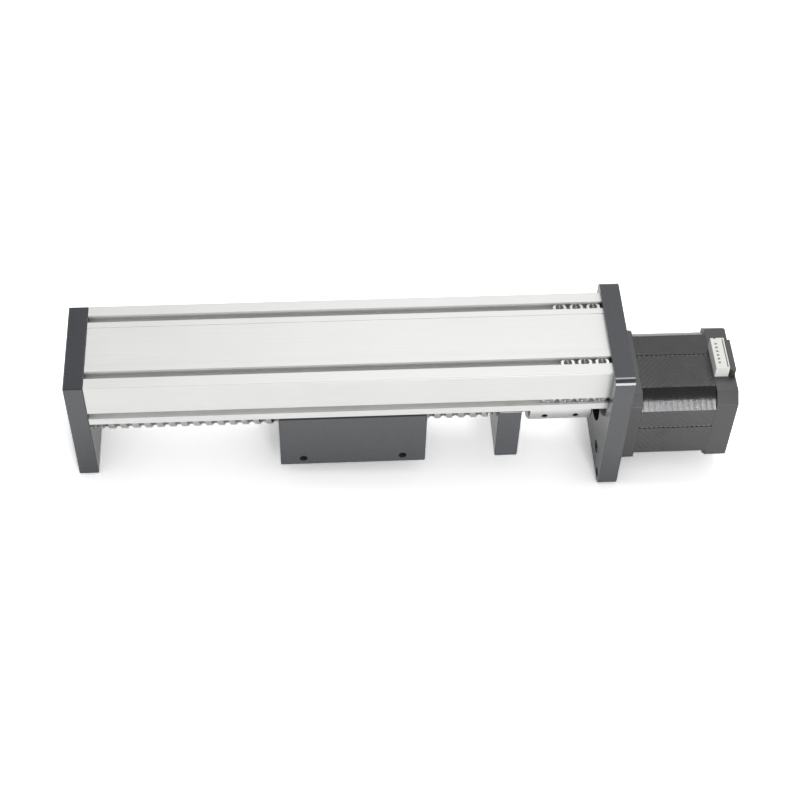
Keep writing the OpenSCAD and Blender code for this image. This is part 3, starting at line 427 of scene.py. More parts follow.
WELD = Finish(
    "weld_seam", (0.26, 0.26, 0.27), (0.13, 0.13, 0.14), 0.9, (0.32, 0.46), line_scale=2200.0,
)
BLACK_OXIDE = Finish(
    "black_oxide", (0.035, 0.035, 0.038), (0.022, 0.022, 0.025), 0.7, (0.30, 0.45),
    line_scale=2500.0,
)
ZINC = Finish(
    "zinc_plate", (0.80, 0.80, 0.79), (0.64, 0.65, 0.66), 0.95, (0.24, 0.38), line_scale=3000.0,
)
CAST_BLACK = Finish(
    "cast_black", (0.060, 0.060, 0.062), (0.046, 0.046, 0.048), 0.1, (0.30, 0.42),
    line_scale=1600.0, line_depth=0.012 * MM, specular=0.9,
)
LAMINATIONS = Laminated(
    "laminations", (0.150, 0.150, 0.153), (0.120, 0.120, 0.123), 0.8, (0.13, 0.19),
    line_scale=2400.0, specular=0.9,
)
COPPER = Finish(
    "enamelled_copper", (0.66, 0.30, 0.13), (0.50, 0.20, 0.08), 0.9, (0.22, 0.35),
    lay=Lay.EVEN, line_scale=2600.0, line_depth=0.03 * MM,
)
CONTACT_BRASS = Finish(
    "contact_brass", (0.80, 0.64, 0.32), (0.70, 0.54, 0.26), 1.0, (0.20, 0.30),
)
WHITE_PLASTIC = Finish(
    "white_plastic", (0.86, 0.86, 0.80), (0.80, 0.80, 0.74), 0.0, (0.36, 0.48), cloud_scale=90.0,
)
GREEN_PLASTIC = Finish(
    "green_plastic", (0.06, 0.20, 0.10), (0.05, 0.16, 0.08), 0.0, (0.36, 0.48),
)

NODE_FINISHES: dict[str, Finish] = {
    "profile": CLEAR_ANODISED,
    "idler_plate": DARK_ANODISED,
    "motor_plate": DARK_ANODISED,
    "bearing_block": DARK_ANODISED,
    "carriage": DARK_ANODISED,
    "bearing_cover": DARK_ANODISED,
    "guide_rail": GROUND_STEEL,
    "guide_block": GROUND_STEEL,
    "guide_balls": GROUND_STEEL,
    "guide_end_caps": GREEN_PLASTIC,
    "ball_nut": GROUND_STEEL,
    "nut_balls": GROUND_STEEL,
    "ball_deflectors": BLACK_OXIDE,
    "nut_wipers": WHITE_PLASTIC,
    "nut_ring": BLACK_OXIDE,
    "nut_lock_screw": BLACK_OXIDE,
    "ball_screw": GROUND_STEEL,
    "idler_bearing_outer": GROUND_STEEL,
    "idler_bearing_inner": GROUND_STEEL,
    "idler_bearing_balls": GROUND_STEEL,
    "fixed_bearing_outer": GROUND_STEEL,
    "fixed_bearing_inner": GROUND_STEEL,
    "fixed_bearing_balls": GROUND_STEEL,
    "spacer_ring": GROUND_STEEL,
    "lock_nut": BLACK_OXIDE,
    "coupling": TURNED_ALUMINIUM,
    "coupling_screws": BLACK_OXIDE,
    "motor_flange": CAST_BLACK,
    "motor_rear_cap": CAST_BLACK,
    "motor_stator": LAMINATIONS,
    "motor_rotor": LAMINATIONS,
    "motor_windings": COPPER,
    "motor_shaft": GROUND_STEEL,
    "motor_bearings": GROUND_STEEL,
    "connector_housing": WHITE_PLASTIC,
    "connector_contacts": CONTACT_BRASS,
    "web_nuts_front": ZINC,
    "web_nuts_rear": ZINC,
    "side_nuts_front": ZINC,
    "side_nuts_rear": ZINC,
}


def dress(obj: bpy.types.Object, finish: Finish) -> None:
    """Gives a piece one finish all over."""
    obj.data.materials.clear()
    obj.data.materials.append(finish.material())


# --------------------------------------------------------------------------
# Modelling steps
# --------------------------------------------------------------------------


def deselect() -> None:
    """Leaves edit mode and clears the selection."""
    active = bpy.context.view_layer.objects.active
    if active is not None and active.mode != "OBJECT":
        bpy.ops.object.mode_set(mode="OBJECT")
    bpy.ops.object.select_all(action="DESELECT")


def take(obj: bpy.types.Object) -> None:
    """Makes a piece the only selected one, and the active one."""
    deselect()
    obj.select_set(True)
    bpy.context.view_layer.objects.active = obj


def edit(obj: bpy.types.Object, everything: bool = True) -> None:
    """Enters edit mode on a piece.

    Args:
        obj: the piece.
        everything: whether all of it starts selected.
    """
    take(obj)
    bpy.ops.object.mode_set(mode="EDIT")
    bpy.ops.mesh.select_mode(type="VERT")
    bpy.ops.mesh.select_all(action="SELECT" if everything else "DESELECT")


def pick_faces(obj: bpy.types.Object, test: Callable[[Vector, Vector], bool]) -> None:
    """Selects faces in edit mode.

    Args:
        obj: the piece in edit mode.
        test: given a face's middle and normal, whether to take it.
    """
    bpy.ops.mesh.select_mode(type="FACE")
    bpy.ops.mesh.select_all(action="DESELECT")
    mesh = bmesh.from_edit_mesh(obj.data)
    for face in mesh.faces:
        face.select_set(test(face.calc_center_median(), face.normal))
    bmesh.update_edit_mesh(obj.data)


def pick_edges(obj: bpy.types.Object, test: Callable[[Vector, Vector], bool]) -> None:
    """Selects edges in edit mode.

    Args:
        obj: the piece in edit mode.
        test: given an edge's two ends, whether to take it.
    """
    bpy.ops.mesh.select_mode(type="EDGE")
    bpy.ops.mesh.select_all(action="DESELECT")
    mesh = bmesh.from_edit_mesh(obj.data)
    for edge in mesh.edges:
        if test(edge.verts[0].co, edge.verts[1].co):
            edge.select_set(True)
    bmesh.update_edit_mesh(obj.data)


def pick_points(obj: bpy.types.Object, test: Callable[[Vector], bool]) -> None:
    """Selects corners in edit mode.

    Args:
        obj: the piece in edit mode.
        test: given a corner, whether to take it.
    """
    bpy.ops.mesh.select_mode(type="VERT")
    bpy.ops.mesh.select_all(action="DESELECT")
    mesh = bmesh.from_edit_mesh(obj.data)
    for vert in mesh.verts:
        if test(vert.co):
            vert.select_set(True)
    mesh.select_flush(True)
    bmesh.update_edit_mesh(obj.data)


def outward(obj: bpy.types.Object) -> None:
    """Merges doubles and turns all faces outwards."""
    edit(obj)
    bpy.ops.mesh.remove_doubles(threshold=WELD_REACH)
    bpy.ops.mesh.normals_make_consistent(inside=False)
    bpy.ops.object.mode_set(mode="OBJECT")


def settle(obj: bpy.types.Object) -> None:
    """Puts a piece's place, turn and size into its mesh."""
    take(obj)
    bpy.ops.object.transform_apply(location=True, rotation=True, scale=True)


def smooth(obj: bpy.types.Object, degrees: float) -> None:
    """Shades a piece smooth across edges gentler than an angle."""
    take(obj)
    bpy.ops.object.shade_smooth_by_angle(angle=math.radians(degrees))


def apply_all(obj: bpy.types.Object) -> None:
    """Applies every modifier of a piece in order."""
    take(obj)
    for modifier in list(obj.modifiers):
        bpy.ops.object.modifier_apply(modifier=modifier.name)


def cut(obj: bpy.types.Object, tool: bpy.types.Object, way: str = "DIFFERENCE") -> None:
    """Combines a piece with a tool, which is used up.

    Args:
        obj: the piece.
        tool: the other shape.
        way: DIFFERENCE, INTERSECT or UNION.
    """
    modifier = obj.modifiers.new("cut", "BOOLEAN")
    modifier.operation = way
    modifier.solver = "EXACT"
    modifier.object = tool
    apply_all(obj)
    bpy.data.objects.remove(tool)


def bar(name: str, radius: float, low: Point, high: Point, sides: int = 48) -> bpy.types.Object:
    """Round or many-sided bar between two points.

    Args:
        name: the piece's name.
        radius: distance of its corners from its middle line.
        low: middle of its first end.
        high: middle of its last end.
        sides: number of sides.

    Returns:
        The bar, settled.
    """
    deselect()
    start, stop = Vector(low), Vector(high)
    bpy.ops.mesh.primitive_cylinder_add(
        vertices=sides, radius=radius, depth=(stop - start).length, location=(start + stop) / 2
    )
    obj = bpy.context.object
    obj.name = name
    obj.rotation_euler = (stop - start).to_track_quat("Z", "Y").to_euler()
    settle(obj)
    return obj


def block(name: str, low: Point, high: Point) -> bpy.types.Object:
    """Square block between two corners.

    Args:
        name: the piece's name.
        low: its lowest corner.
        high: its highest corner.

    Returns:
        The block, settled.
    """
    deselect()
    start, stop = Vector(low), Vector(high)
    bpy.ops.mesh.primitive_cube_add(size=1.0, location=(start + stop) / 2)
    obj = bpy.context.object
    obj.name = name
    obj.scale = stop - start
    settle(obj)
    return obj


def traced(name: str, points: list[Point], closed: bool = False) -> bpy.types.Object:
    """Line drawn from point to point by extruding one corner of a primitive.

    Args:
        name: the piece's name.
        points: the line's points.
        closed: whether the last point joins the first.

    Returns:
        The piece, which is edges alone.
    """
    deselect()
    bpy.ops.mesh.primitive_plane_add(size=MM, location=points[0])
    obj = bpy.context.object
    obj.name = name
    settle(obj)
    edit(obj)
    bpy.ops.mesh.merge(type="CENTER")
    for here, there in zip(points, points[1:]):
        step = Vector(there) - Vector(here)
        bpy.ops.mesh.extrude_region_move(TRANSFORM_OT_translate={"value": step})
    if closed:
        first, last = Vector(points[0]), Vector(points[-1])
        pick_points(obj, lambda p: min((p - first).length, (p - last).length) < 1e-8)
        bpy.ops.mesh.edge_face_add()
    bpy.ops.object.mode_set(mode="OBJECT")
    return obj


def turned(name: str, outline: list[tuple[float, float]], steps: int = 64) -> bpy.types.Object:
    """Turned piece about the X axis.

    Args:
        name: the piece's name.
        outline: pairs of a place along X and a radius, from axis to axis, or round a ring.
        steps: number of steps round.

    Returns:
        The piece, closed and facing outwards.
    """
    obj = traced(name, [(x, 0.0, radius) for x, radius in outline], closed=outline[0][1] > 1e-9)
    edit(obj)
    bpy.ops.mesh.spin(steps=steps, angle=2 * math.pi, center=(0, 0, 0), axis=(1, 0, 0))
    bpy.ops.object.mode_set(mode="OBJECT")
    outward(obj)
    smooth(obj, 32)
    return obj


def wound(
    name: str, outline: list[Point], pitch: float, turns: int, steps: int
) -> bpy.types.Object:
    """Open outline one pitch long, wound round the X axis into a right-hand thread.

    Args:
        name: the piece's name.
        outline: the outline's points in a plane through the axis.
        pitch: advance in one turn.
        turns: whole turns.
        steps: steps in one turn.

    Returns:
        The thread's surface, open at both ends.
    """
    obj = traced(name, outline)
    modifier = obj.modifiers.new("wind", "SCREW")
    modifier.axis = "X"
    modifier.angle = 2 * math.pi
    modifier.screw_offset = pitch
    modifier.iterations = turns
    modifier.steps = steps
    modifier.render_steps = steps
    apply_all(obj)
    outward(obj)
    return obj


def joined(name: str, parts: Iterable[bpy.types.Object]) -> bpy.types.Object:
    """Joins parts into one piece.

    Args:
        name: the piece's name.
        parts: the parts, at least one.

    Returns:
        The piece.
    """
    deselect()
    parts = list(parts)
    for part in parts:
        part.select_set(True)
    bpy.context.view_layer.objects.active = parts[0]
    if len(parts) > 1:
        bpy.ops.object.join()
    obj = bpy.context.view_layer.objects.active
    obj.name = name
    return obj


def repeated(name: str, template: bpy.types.Object, places: Iterable[Matrix]) -> bpy.types.Object:
    """Copies a template to every place, each copy with its own mesh, and joins them.

    Args:
        name: the joined piece's name.
        template: the piece to copy, which stays.
        places: where each copy goes.

    Returns:
        The joined piece.
    """
    copies = []
    for place in places:
        copy = template.copy()
        copy.data = template.data.copy()
        copy.matrix_world = place
        bpy.context.scene.collection.objects.link(copy)
        settle(copy)
        copies.append(copy)
    return joined(name, copies)


def present(
    obj: bpy.types.Object, body: Body, finish: Finish, nodes: Iterable[str] = ()
) -> None:
    """Dresses a finished piece and hands it to its body.

    Args:
        obj: the piece.
        body: the body that it rides on.
        finish: its finish.
        nodes: CAD nodes that it stands for.
    """
    dress(obj, finish)
    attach(obj, body.value)
    if nodes:
        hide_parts(*nodes)
    LOG.info("built %s, %d faces", obj.name, len(obj.data.polygons))


# --------------------------------------------------------------------------
# Machined parts with eased edges
# --------------------------------------------------------------------------


@dataclass
class Machined:
    """Machined parts whose sharp edges are broken and whose round faces shade smooth."""

    edge: float = 0.18 * MM
    sharp: float = 35.0
    flat: float = 0.4
    nodes: tuple[tuple[str, Body, str], ...] = (
        ("profile", Body.FRAME, "clear_anodised_aluminium"),
        ("motor_plate", Body.FRAME, "dark_anodised_aluminium"),
        ("idler_plate", Body.FRAME, "dark_anodised_aluminium"),
        ("bearing_block", Body.FRAME, "dark_anodised_aluminium"),
        ("bearing_cover", Body.FRAME, "dark_anodised_aluminium"),
        ("carriage", Body.CARRIAGE, "dark_anodised_aluminium"),
        ("guide_block", Body.CARRIAGE, "ground_steel"),
        ("guide_end_caps", Body.CARRIAGE, "green_plastic"),
        ("motor_flange", Body.FRAME, "motor_black"),
        ("motor_rear_cap", Body.FRAME, "motor_black"),
        ("coupling", Body.SCREW, "turned_aluminium"),
    )

    def copy(self, node: str) -> bpy.types.Object:
        """Takes a node's mesh as a closed solid with whole faces.

        Args:
            node: the node's name.

        Returns:
            A new piece at the node's place.
        """
        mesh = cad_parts[node].data.copy()
        obj = bpy.data.objects.new(f"{node}_eased", mesh)
        bpy.context.scene.collection.objects.link(obj)
        edit(obj)
        bpy.ops.mesh.customdata_custom_splitnormals_clear()
        bpy.ops.mesh.remove_doubles(threshold=2 * WELD_REACH)
        bpy.ops.mesh.dissolve_limited(angle_limit=math.radians(self.flat))
        bpy.ops.mesh.normals_make_consistent(inside=False)
        bpy.ops.object.mode_set(mode="OBJECT")
        return obj

    def ease(self, obj: bpy.types.Object) -> None:
        """Breaks a piece's sharp edges with a small bevel and shades the rest smooth."""
        bevel = obj.modifiers.new("edge", "BEVEL")
        bevel.width = self.edge
        bevel.segments = 2
        bevel.limit_method = "ANGLE"
        bevel.angle_limit = math.radians(self.sharp)
        bevel.miter_outer = "MITER_ARC"
        apply_all(obj)
        smooth(obj, self.sharp)
        level = obj.modifiers.new("level", "WEIGHTED_NORMAL")
        level.weight = 100
        level.keep_sharp = True
        apply_all(obj)

    def build(self) -> None:
        """Makes every part of the list and puts it in place of its plain node."""
        for node, body, slot in self.nodes:
            piece = self.copy(node)
            self.ease(piece)
            present(piece, body, NODE_FINISHES.get(node, BLACK_OXIDE), [node])


# --------------------------------------------------------------------------
# Ball screw
# --------------------------------------------------------------------------


@dataclass
class BallScrew:
    """Rolled screw: one rounded ball groove wound round a shaft with turned ends."""

    crest: float = 7.90 * MM
    ball_circle: float = 8.50 * MM
    groove: float = 1.55 * MM
    lead: float = 5.0 * MM
    phase: float = 3.541 * MM
    start: float = 10.0 * MM
    stop: float = 170.0 * MM
    shoulder: float = 6.2 * MM
    shoulder_start: float = 8.0 * MM
    shoulder_stop: float = 174.0 * MM
    shoulder_edge: float = 0.2 * MM
    journal: float = 4.0 * MM
    journal_edge: float = 0.4 * MM
    round_steps: int = 48
    groove_steps: int = 10
    groove_share: float = 0.98
    edge: float = 0.10 * MM

    def outline(self) -> list[Point]:
        """One pitch of the thread in the plane of X and Y: land, groove, land."""
        rise = self.ball_circle - self.crest
        half = math.sqrt(self.groove**2 - rise**2)
        reach = math.asin(half / self.groove)
        centre = self.phase
        points = [
            (centre - self.lead / 2, self.crest, 0.0),
            (centre - half - self.edge, self.crest, 0.0),
        ]
        for step in range(self.groove_steps + 1):
            turn = reach * self.groove_share * (1.0 - 2.0 * step / self.groove_steps)
            points.append(
                (
                    centre - self.groove * math.sin(turn),
                    self.ball_circle - self.groove * math.cos(turn),
                    0.0,
                )
            )
        points.append((centre + half + self.edge, self.crest, 0.0))
        points.append((centre + self.lead / 2, self.crest, 0.0))
        return points

    def thread(self) -> bpy.types.Object:
        """Winds the outline along the shaft and cuts both ends square."""
        turns = math.ceil((self.stop - self.phase) / self.lead) + 1
        obj = wound("screw_thread", self.outline(), self.lead, turns, self.round_steps)
        for place, normal in ((self.start, -1.0), (self.stop, 1.0)):
            edit(obj)
            bpy.ops.mesh.bisect(
                plane_co=(place, 0.0, 0.0),
                plane_no=(normal, 0.0, 0.0),
                use_fill=True,
                clear_outer=True,
            )
            bpy.ops.object.mode_set(mode="OBJECT")
        outward(obj)
        smooth(obj, 32)
        return obj

    def ends(self) -> list[bpy.types.Object]:
        """Turns the shoulder and journal at each end of the thread."""
        low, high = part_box("ball_screw")
        small, ease = self.journal - self.journal_edge, self.shoulder_edge
        inner = (self.start + self.lead, self.stop - self.lead)
        free = turned(
            "screw_free_end",
            [
                (low.x, 0.0),
                (low.x, small),
                (low.x + self.journal_edge, self.journal),
                (self.shoulder_start, self.journal),
                (self.shoulder_start, self.shoulder - ease),
                (self.shoulder_start + ease, self.shoulder),
                (inner[0], self.shoulder),
                (inner[0], 0.0),
            ],
        )
        drive = turned(
            "screw_drive_end",
            [
                (inner[1], 0.0),
                (inner[1], self.shoulder),
                (self.shoulder_stop - ease, self.shoulder),
                (self.shoulder_stop, self.shoulder - ease),
                (self.shoulder_stop, self.journal),
                (high.x - self.journal_edge, self.journal),
                (high.x, small),
                (high.x, 0.0),
            ],
        )
        return [free, drive]

    def build(self) -> None:
        """Makes the screw and puts it in place of its plain node."""
        screw = joined("ball_screw_wound", [self.thread(), *self.ends()])
        present(screw, Body.SCREW, ROLLED_STEEL, ["ball_screw"])


# --------------------------------------------------------------------------
# Slot nuts
# --------------------------------------------------------------------------


@dataclass
class SlotNuts:
    """Rows of chamfered, threaded hexagonal nuts that lie in the channel's slots."""

    across: float = 5.5 * MM
    thick: float = 2.3 * MM
    bore: float = 1.25 * MM
    thread: float = 1.45 * MM
    sink: float = 0.4 * MM
    pitch: float = 0.5 * MM
    step: float = 6.9 * MM
    last: float = 216.0 * MM
    past: float = 0.1 * MM
    chamfer_reach: float = 0.485
    chamfer_slope: float = 1.7
    web_y: float = 14.55 * MM
    web_z: float = 38.15 * MM
    side_y: float = 19.15 * MM
    side_z: float = 23.2 * MM

    def nut(self) -> bpy.types.Object:
        """Makes one nut at the origin with its bore along Z and corners along X."""
        half, over = self.thick / 2, self.past
        corner = self.across / 2 / math.cos(math.radians(30))
        body = bar("nut", corner, (0, 0, -half), (0, 0, half), sides=6)
        body.rotation_euler = (0.0, 0.0, math.radians(30))
        settle(body)
        reach, slope = self.chamfer_reach * self.across, self.chamfer_slope
        for turn in (0.0, math.pi):
            deselect()
            bpy.ops.mesh.primitive_cone_add(
                vertices=48,
                radius1=reach - slope * over,
                radius2=reach + slope * (self.thick + over),
                depth=self.thick + 2 * over,
            )
            cone = bpy.context.object
            cone.rotation_euler = (turn, 0.0, 0.0)
            settle(cone)
            cut(body, cone, "INTERSECT")
        cut(body, self.tap())
        smooth(body, 28)
        return body

    def tap(self) -> bpy.types.Object:
        """Turns the shape of the bore: a countersink at each face, thread rings between."""
        half, over = self.thick / 2, 1.5 * self.past
        wide = self.thread + self.sink
        outline = [(-half - over, 0.0), (-half - over, wide), (-half, wide - over)]
        start = -half + wide - over - self.bore
        rings = int((-2.0 * start) / self.pitch)
        step = -2.0 * start / rings
        for ring in range(rings):
            outline.append((start + ring * step, self.bore))
            outline.append((start + (ring + 0.5) * step, self.thread))
        outline.append((-start, self.bore))
        outline += [(half, wide - over), (half + over, wide), (half + over, 0.0)]
        tool = turned("tap", outline, 24)
        tool.rotation_euler = (0.0, math.radians(90), 0.0)
        settle(tool)
        return tool

    def row(
        self, name: str, template: bpy.types.Object, count: int, y: float, z: float, lie: float
    ) -> bpy.types.Object:
        """Copies the nut along one slot.

        Args:
            name: the row's name.
            template: the nut.
            count: how many nuts.
            y: place across the channel.
            z: height.
            lie: turn about X that lays the nuts in their slot, in degrees.

        Returns:
            The row as one piece.
        """
        lay = Matrix.Rotation(math.radians(lie), 4, "X")
        places = [
            Matrix.Translation((self.last - self.step * (i + 0.5), y, z)) @ lay
            for i in range(count)
        ]
        return repeated(name, template, places)

    def build(self) -> None:
        """Makes the four rows and puts them in place of their plain nodes."""
        template = self.nut()
        web, side = (self.web_y, self.web_z), (self.side_y, self.side_z)
        rows = (
            ("web_row_front", 3, -1, web, 0.0, Body.WEB_FRONT, "web_nuts_front"),
            ("web_row_rear", 3, 1, web, 0.0, Body.WEB_REAR, "web_nuts_rear"),
            ("side_row_front", 4, -1, side, 90.0, Body.SIDE_FRONT, "side_nuts_front"),
            ("side_row_rear", 4, 1, side, 90.0, Body.SIDE_REAR, "side_nuts_rear"),
        )
        for name, count, way, (y, z), lie, body, node in rows:
            piece = self.row(name, template, count, way * y, z, lie)
            present(piece, body, ZINC, [node])
        bpy.data.objects.remove(template)


# --------------------------------------------------------------------------
# Cap screws
# --------------------------------------------------------------------------


@dataclass
class CapScrews:
    """Socket-head screws with knurled heads, hexagonal sockets and threaded shanks."""

    head: float = 2.75 * MM
    tall: float = 3.0 * MM
    rim: float = 0.3 * MM
    collar: float = 0.2 * MM
    socket: float = 1.4 * MM
    socket_depth: float = 1.65 * MM
    shank: float = 1.5 * MM
    root: float = 1.28 * MM
    pitch: float = 0.5 * MM
    ridges: int = 30
    valley: float = 0.955
    plate_places: tuple[Span, ...] = ((18.2 * MM, 30.675 * MM), (5.8 * MM, 37.25 * MM))
    motor_place: float = 15.5 * MM

    def screw(self, length: float) -> bpy.types.Object:
        """Makes one screw along X.

        Args:
            length: whole length of the screw, head and shank.

        Returns:
            The screw, its head's face at X 0 and its shank towards -X.
        """
        neck = -self.tall - self.collar
        outline = [
            (0.0, 0.0),
            (0.0, self.head - self.rim),
            (-self.rim, self.head),
            (-self.tall + self.collar, self.head),
            (-self.tall, self.head - self.collar / 2),
            (-self.tall, self.shank),
            (neck, self.shank),
        ]
        run = length - self.tall - 2 * self.collar
        rings = int(run / self.pitch)
        for ring in range(rings):
            x = neck - (ring + 0.5) * run / rings
            outline.append((x, self.root))
            outline.append((x - 0.5 * run / rings, self.shank))
        outline += [(-length, self.root), (-length, 0.0)]
        body = turned("cap_screw", outline, 2 * self.ridges)
        edit(body)
        pick_points(
            body,
            lambda v: -self.tall + self.collar / 2 < v.x < -self.rim / 2
            and round(math.atan2(v.z, v.y) / math.pi * self.ridges) % 2 == 0,
        )
        bpy.ops.transform.resize(
            value=(1.0, self.valley, self.valley), center_override=(0.0, 0.0, 0.0)
        )
        bpy.ops.object.mode_set(mode="OBJECT")
        cut(body, bar("key", self.socket, (-self.socket_depth, 0, 0), (MM, 0, 0), sides=6))
        smooth(body, 24)
        return body

    def row(self, node: str, places: Iterable[Span], facing: int) -> None:
        """Puts one set of screws in place of its plain node.

        Args:
            node: the node's name.
            places: Y and Z of each screw.
            facing: 1 where the heads face +X, -1 where they face -X.
        """
        low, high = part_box(node)
        face = high.x if facing > 0 else low.x
        template = self.screw(high.x - low.x)
        turn = Matrix.Rotation(0.0 if facing > 0 else math.pi, 4, "Z")
        spots = [Matrix.Translation((face, y, z)) @ turn for y, z in places]
        row = repeated(f"{node}_knurled", template, spots)
        bpy.data.objects.remove(template)
        present(row, Body.FRAME, BLACK_OXIDE, [node])

    def build(self) -> None:
        """Makes the four sets of screws."""
        out = self.motor_place
        plate = [(way * y, z) for y, z in self.plate_places for way in (-1, 1)]
        motor = [(y, z) for y in (-out, out) for z in (-out, out)]
        self.row("idler_plate_screws", plate, -1)
        self.row("motor_plate_screws", plate, 1)
        self.row("motor_mount_screws", motor, -1)
        self.row("motor_long_screws", motor, 1)


# --------------------------------------------------------------------------
# Motor stack
# --------------------------------------------------------------------------


@dataclass
class MotorStack:
    """Stator of thin sheets with eight poles, held by weld seams in shallow notches."""

    half: float = 20.75 * MM
    corner: float = 6.964 * MM
    corner_steps: int = 4
    corner_profile: float = 0.31
    sheet_edge: float = 0.07 * MM
    sheet: float = 0.5 * MM
    yoke: float = 17.5 * MM
    pole: float = 4.4 * MM
    bore: float = 11.15 * MM
    shoe: float = 1.6 * MM
    shoe_gap: float = 1.8 * MM
    hole: float = 1.6 * MM
    hole_place: float = 15.5 * MM
    notch: float = 0.8 * MM
    notch_depth: float = 0.3 * MM
    seam_place: float = -3.0 * MM
    bead_step: float = 1.9 * MM
    bead_shape: Point = (2.2, 0.62, 0.95)
    seam_inset: float = 0.4 * MM

    def across(
        self,
        x: float,
        long: float,
        wide: float,
        turn: float,
        out: float = 0.0,
        side: float = 0.0,
        reach: float = 2.0,
    ) -> bpy.types.Object:
        """Square cutting bar through one sheet, turned about X.

        Args:
            x: middle of the sheet along X.
            long: the bar's length along Y before the turn.
            wide: its width along Z before the turn.
            turn: turn about X in degrees.
            out: place of its middle along Y before the turn.
            side: place of its middle along Z before the turn.
            reach: how many sheets it stands out each way from the middle.

        Returns:
            The bar.
        """
        tool = block(
            "across",
            (x - reach * self.sheet, out - long / 2, side - wide / 2),
            (x + reach * self.sheet, out + long / 2, side + wide / 2),
        )
        tool.rotation_euler = (math.radians(turn), 0.0, 0.0)
        settle(tool)
        return tool

    def lamination(self, x: float) -> bpy.types.Object:
        """Stamps one sheet.

        Args:
            x: where its first face lies along X.

        Returns:
            The sheet.
        """
        middle = x + self.sheet / 2
        low, high = middle - self.sheet, middle + self.sheet
        sheet = block("sheet", (x, -self.half, -self.half), (x + self.sheet, self.half, self.half))
        edit(sheet)
        pick_edges(sheet, lambda a, b: abs(a.x - b.x) > WELD_REACH)
        bpy.ops.mesh.bevel(
            offset=self.corner,
            segments=self.corner_steps,
            profile=self.corner_profile,
            clamp_overlap=False,
        )
        pick_faces(sheet, lambda c, n: abs(n.x) > 0.9)
        bpy.ops.mesh.bevel(offset=self.sheet_edge, segments=1, clamp_overlap=False)
        bpy.ops.object.mode_set(mode="OBJECT")
        gaps = bar("slots", self.yoke, (low, 0, 0), (high, 0, 0), 72)
        # A bar that crosses the whole bore makes two facing poles, or two gaps, at once
        span = 2.2 * self.yoke
        for turn in (0.0, 45.0, 90.0, 135.0):
            cut(gaps, self.across(middle, span, self.pole, turn))
        shoes = bar("shoes", self.bore + self.shoe, (low - MM, 0, 0), (high + MM, 0, 0), 72)
        for turn in (22.5, 67.5, 112.5, 157.5):
            cut(shoes, self.across(middle, span, self.shoe_gap, turn, reach=8.0))
        cut(gaps, shoes)
        cut(sheet, gaps)
        cut(sheet, bar("bore", self.bore, (low, 0, 0), (high, 0, 0), 72))
        for y in (-self.hole_place, self.hole_place):
            for z in (-self.hole_place, self.hole_place):
                cut(sheet, bar("hole", self.hole, (low, y, z), (high, y, z), 20))
        deep = 2 * self.notch_depth
        for turn in (0.0, 90.0, 180.0, 270.0):
            notch = self.across(middle, deep, self.notch, turn, self.half, self.seam_place)
            cut(sheet, notch)
        return sheet

    def seams(self, x0: float, x1: float) -> bpy.types.Object:
        """Lays a row of weld beads in every notch.

        Args:
            x0: where the rows start along X.
            x1: where they end.

        Returns:
            All the beads as one piece.
        """
        deselect()
        bpy.ops.mesh.primitive_uv_sphere_add(segments=12, ring_count=8, radius=self.notch / 2)
        bead = bpy.context.object
        bead.name = "bead"
        edit(bead)
        bpy.ops.transform.resize(value=self.bead_shape)
        bpy.ops.object.mode_set(mode="OBJECT")
        count = int((x1 - x0) / self.bead_step)
        places = []
        for turn in (0.0, 90.0, 180.0, 270.0):
            lay = Matrix.Rotation(math.radians(turn), 4, "X")
            for i in range(count):
                x = x0 + (i + 0.5) * (x1 - x0) / count
                spot = Matrix.Translation((x, self.half - self.notch_depth, self.seam_place))
                places.append(lay @ spot)
        row = repeated("stack_seams", bead, places)
        bpy.data.objects.remove(bead)
        smooth(row, 50)
        return row

    def build(self) -> None:
        """Stacks the sheets and puts them in place of the plain stator."""
        low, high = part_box("motor_stator")
        sheet = self.lamination(low.x)
        array = sheet.modifiers.new("stack", "ARRAY")
        array.use_relative_offset = False
        array.use_constant_offset = True
        array.constant_offset_displace = (self.sheet, 0.0, 0.0)
        array.count = round((high.x - low.x) / self.sheet)
        apply_all(sheet)
        sheet.name = "stator_sheets"
        smooth(sheet, 20)
        present(sheet, Body.FRAME, LAMINATIONS, ["motor_stator"])
        seams = self.seams(low.x + self.seam_inset, high.x - self.seam_inset)
        present(seams, Body.FRAME, WELD)


# --------------------------------------------------------------------------
# Studio
# --------------------------------------------------------------------------


@dataclass(frozen=True)
class Softbox:
    """Large soft lamp, placed by the angle at which the middle of the axis sees it.

    The angle runs from straight up towards the front, in degrees.
    """

    name: str
    angle: float
    across: float
    along: float
    distance: float
    radiance: float
    shift: float

    def light(self) -> None:
        """Hangs the lamp and points it at the middle of the axis."""
        data = bpy.data.lights.new(self.name, "AREA")
        data.shape = "RECTANGLE"
        data.size, data.size_y = self.along, self.across
        data.energy = math.pi * self.along * self.across * self.radiance
        lamp = bpy.data.objects.new(self.name, data)
        turn = math.radians(self.angle)
        high, front = self.distance * math.cos(turn), self.distance * math.sin(turn)
        lamp.location = (self.shift, -front, high)
        lamp.rotation_euler = (turn, 0.0, 0.0)
        bpy.context.scene.collection.objects.link(lamp)


KEY = Softbox("key", -19.0, 0.55, 0.60, 1.15, 4.7, 0.24)
FRONT = Softbox("front", 73.0, 0.80, 0.26, 1.20, 8.6, 0.42)


